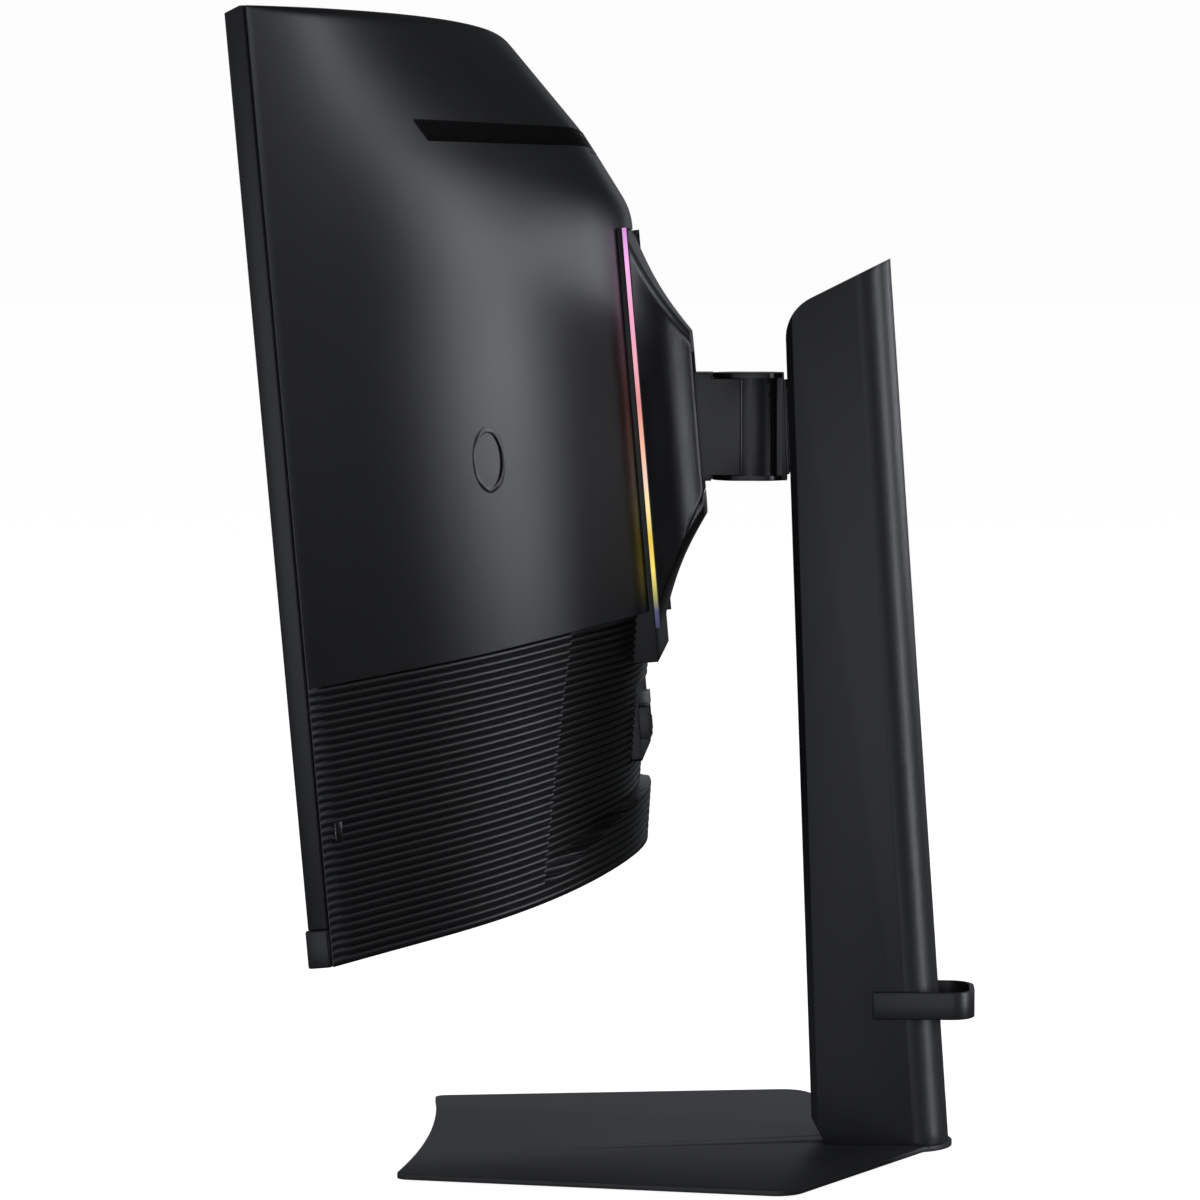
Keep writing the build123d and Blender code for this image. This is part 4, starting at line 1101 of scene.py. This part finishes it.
@dataclass
class Studio:
    """Camera, lights and floor, in metres.

    Attributes:
        eye: where the camera is.
        yaw: its turn away from the X axis, in radians.
        pitch: its turn downwards, in radians.
        lens: its focal length, in millimetres.
        tint: colour of the lights.
        flag_place: middle of the card that shades the casing from the rim light.
        flag_size: its width, thickness and height.
        flag_turn: its turn about the upright, in degrees.
        floor_radius: radius of the floor.
        floor_glow: how bright the camera sees it.
    """

    eye: tuple[float, float, float] = (2.6128, -0.0174, 0.5289)
    yaw: float = 0.0581
    pitch: float = 0.0758
    lens: float = 130.96
    tint: tuple[float, float, float] = (0.91, 0.93, 1.0)
    flag_place: tuple[float, float, float] = (0.446, 0.439, 0.5)
    flag_size: tuple[float, float, float] = (0.555, 0.002, 1.6)
    flag_turn: float = -19.3
    floor_radius: float = 60.0
    floor_glow: float = 0.95

    def build(self) -> None:
        """Sets up the studio."""
        bpy.context.scene.view_settings.view_transform = "Standard"
        self.camera()
        self.world()
        self.floor()
        self.flag()
        for softbox in SOFTBOXES:
            self.softbox(softbox)
        self.spot((-1.3, 2.7, 0.46), (0.06, -0.14, 0.45), 4.0, 60.0)

    def camera(self) -> None:
        """Places the camera."""
        data = bpy.data.cameras.new("camera")
        data.lens = self.lens
        data.sensor_width = 36.0
        data.clip_end = 100.0
        camera = bpy.data.objects.new("camera", data)
        bpy.context.scene.collection.objects.link(camera)
        camera.location = self.eye
        aim = Vector((-cos(self.yaw) * cos(self.pitch), -sin(self.yaw) * cos(self.pitch), -sin(self.pitch)))
        camera.rotation_euler = aim.to_track_quat("-Z", "Y").to_euler()
        bpy.context.scene.camera = camera

    def world(self) -> None:
        """White to the camera, dim as a light."""
        world = bpy.data.worlds.new("studio")
        world.use_nodes = True
        tree = world.node_tree
        tree.nodes.clear()
        output = tree.nodes.new("ShaderNodeOutputWorld")
        seen = tree.nodes.new("ShaderNodeBackground")
        seen.inputs["Color"].default_value = (0.98, 0.98, 0.98, 1.0)
        seen.inputs["Strength"].default_value = 1.0
        dim = tree.nodes.new("ShaderNodeBackground")
        dim.inputs["Color"].default_value = (0.9, 0.95, 1.0, 1.0)
        dim.inputs["Strength"].default_value = 0.05
        path = tree.nodes.new("ShaderNodeLightPath")
        mix = tree.nodes.new("ShaderNodeMixShader")
        tree.links.new(path.outputs["Is Camera Ray"], mix.inputs[0])
        tree.links.new(dim.outputs[0], mix.inputs[1])
        tree.links.new(seen.outputs[0], mix.inputs[2])
        tree.links.new(mix.outputs[0], output.inputs[0])
        bpy.context.scene.world = world

    def floor(self) -> None:
        """Lays a wide pale floor."""
        disc = bmesh.new()
        bmesh.ops.create_circle(disc, cap_ends=True, segments=96, radius=self.floor_radius)
        floor = self.prop("floor", disc)
        floor.data.materials.append(
            Shader("pale_floor").dress(
                Base_Color=(0.8, 0.8, 0.8, 1.0),
                Roughness=0.9,
                Emission_Color=(1.0, 1.0, 1.0, 1.0),
                Emission_Strength=self.floor_glow,
            )
        )
        floor.visible_glossy = False
        floor.visible_diffuse = False
        floor.visible_shadow = False

    def flag(self) -> None:
        """Hangs a card that keeps the rim light on the column and off the casing."""
        card = bmesh.new()
        turn = Matrix.Rotation(radians(self.flag_turn), 4, "Z")
        scale = Matrix.Diagonal((*self.flag_size, 1.0))
        bmesh.ops.create_cube(card, size=1.0, matrix=Matrix.Translation(self.flag_place) @ turn @ scale)
        flag = self.prop("flag", card)
        flag.data.materials.append(Shader("black_card").dress(Base_Color=(0.0, 0.0, 0.0, 1.0), Roughness=1.0))
        flag.visible_camera = False
        flag.visible_glossy = False
        flag.visible_diffuse = False

    @staticmethod
    def prop(name: str, mesh: bmesh.types.BMesh) -> bpy.types.Object:
        """Turns a mesh into an object of the studio."""
        data = bpy.data.meshes.new(name)
        mesh.to_mesh(data)
        mesh.free()
        prop = bpy.data.objects.new(name, data)
        bpy.context.scene.collection.objects.link(prop)
        return prop

    def spot(self, place: tuple, aim: tuple, cone: float, power: float) -> None:
        """Hangs a narrow soft-edged spot.

        Args:
            place: where it hangs.
            aim: the point that it faces.
            cone: angle of its beam, in degrees.
            power: watts.
        """
        data = bpy.data.lights.new("spot", "SPOT")
        data.spot_size = radians(cone)
        data.spot_blend = 1.0
        data.shadow_soft_size = 0.12
        self.hang(data, place, aim, power)

    def softbox(self, softbox: Softbox) -> None:
        """Hangs one soft light."""
        data = bpy.data.lights.new(softbox.name, "AREA")
        data.shape = "RECTANGLE"
        data.size, data.size_y = softbox.size
        self.hang(data, softbox.place, softbox.aim, softbox.power, softbox.spin)

    def hang(self, data: bpy.types.Light, place: tuple, aim: tuple, power: float, spin: float = 0.0) -> None:
        """Puts a light in its place, faces it and gives it its power and tint.

        Args:
            data: the light.
            place: where it hangs.
            aim: the point that it faces.
            power: watts.
            spin: turn about its own axis, in degrees.
        """
        data.energy = power
        data.color = self.tint
        light = bpy.data.objects.new(data.name, data)
        bpy.context.scene.collection.objects.link(light)
        light.visible_camera = False
        light.location = place
        facing = (Vector(aim) - Vector(place)).to_track_quat("-Z", "Y")
        light.rotation_euler = (facing @ Quaternion((0.0, 0.0, 1.0), radians(spin))).to_euler()


def finishes(lean: Lean) -> dict[str, bpy.types.Material]:
    """Builds one material for each material slot of the record."""
    low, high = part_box("light_strips")
    kinds = {
        "bezel_plastic": Moulded(0.014, 0.4),
        "panel_glass": Panel(),
        "shell_plastic": Moulded(0.008, 0.34),
        "ribbed_plastic": Moulded(0.012, 0.36, relief=0.00002),
        "inner_plastic": Moulded(0.012, 0.42),
        "light_diffuser": Lit(lean.up.dot(low), lean.up.dot(high), tuple(lean.up)),
        "sheet_white": Sheet((0.75, 0.75, 0.74), (0.85, 0.85, 0.85)),
        "circuit_board": Sheet((0.01, 0.08, 0.03), (0.02, 0.14, 0.06), 420.0, 0.35),
        "plain_steel": Steel(),
        "socket_metal": Steel((0.45, 0.45, 0.46), 0.28, (1.0, 0.1, 1.0)),
        "socket_plastic": Moulded(0.010, 0.36),
        "arm_paint": Coated(0.009, 0.34),
        "column_paint": Coated(0.018, 0.42),
        "base_paint": Coated(0.032, 0.46, peel=1500.0, relief=0.00004, sparkle=0.4),
        "cast_alloy": Steel((0.6, 0.6, 0.61), 0.5, (1.0, 1.0, 1.0)),
        "strut_black": Coated(0.01, 0.3),
        "bearing_plastic": Sheet((0.6, 0.6, 0.52), (0.7, 0.7, 0.62), 90.0),
        "rubber_pad": Moulded(0.01, 0.8, 1200.0, 0.00006),
        "clip_plastic": Moulded(0.016, 0.4),
        "ring_plastic": Moulded(0.006, 0.3),
        "button_plastic": Moulded(0.009, 0.36),
    }
    return {slot: kind.make(slot) for slot, kind in kinds.items()}


def main() -> None:
    """Builds the monitor's looks, piece by piece."""
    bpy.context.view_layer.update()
    lean = Lean.from_joints(frame["joints"])
    bench = Bench(finishes(lean))
    bench.dress_frame()
    slots = {part["node"]: part["material_slot"] for part in frame["record"]["subparts"]}
    Studio().build()
    RearCasing(bench, lean).build()
    Hub(bench, lean).build()
    for easing in EASED:
        bench.eased(easing, slots[easing.node])


if __name__ == "__main__":
    main()
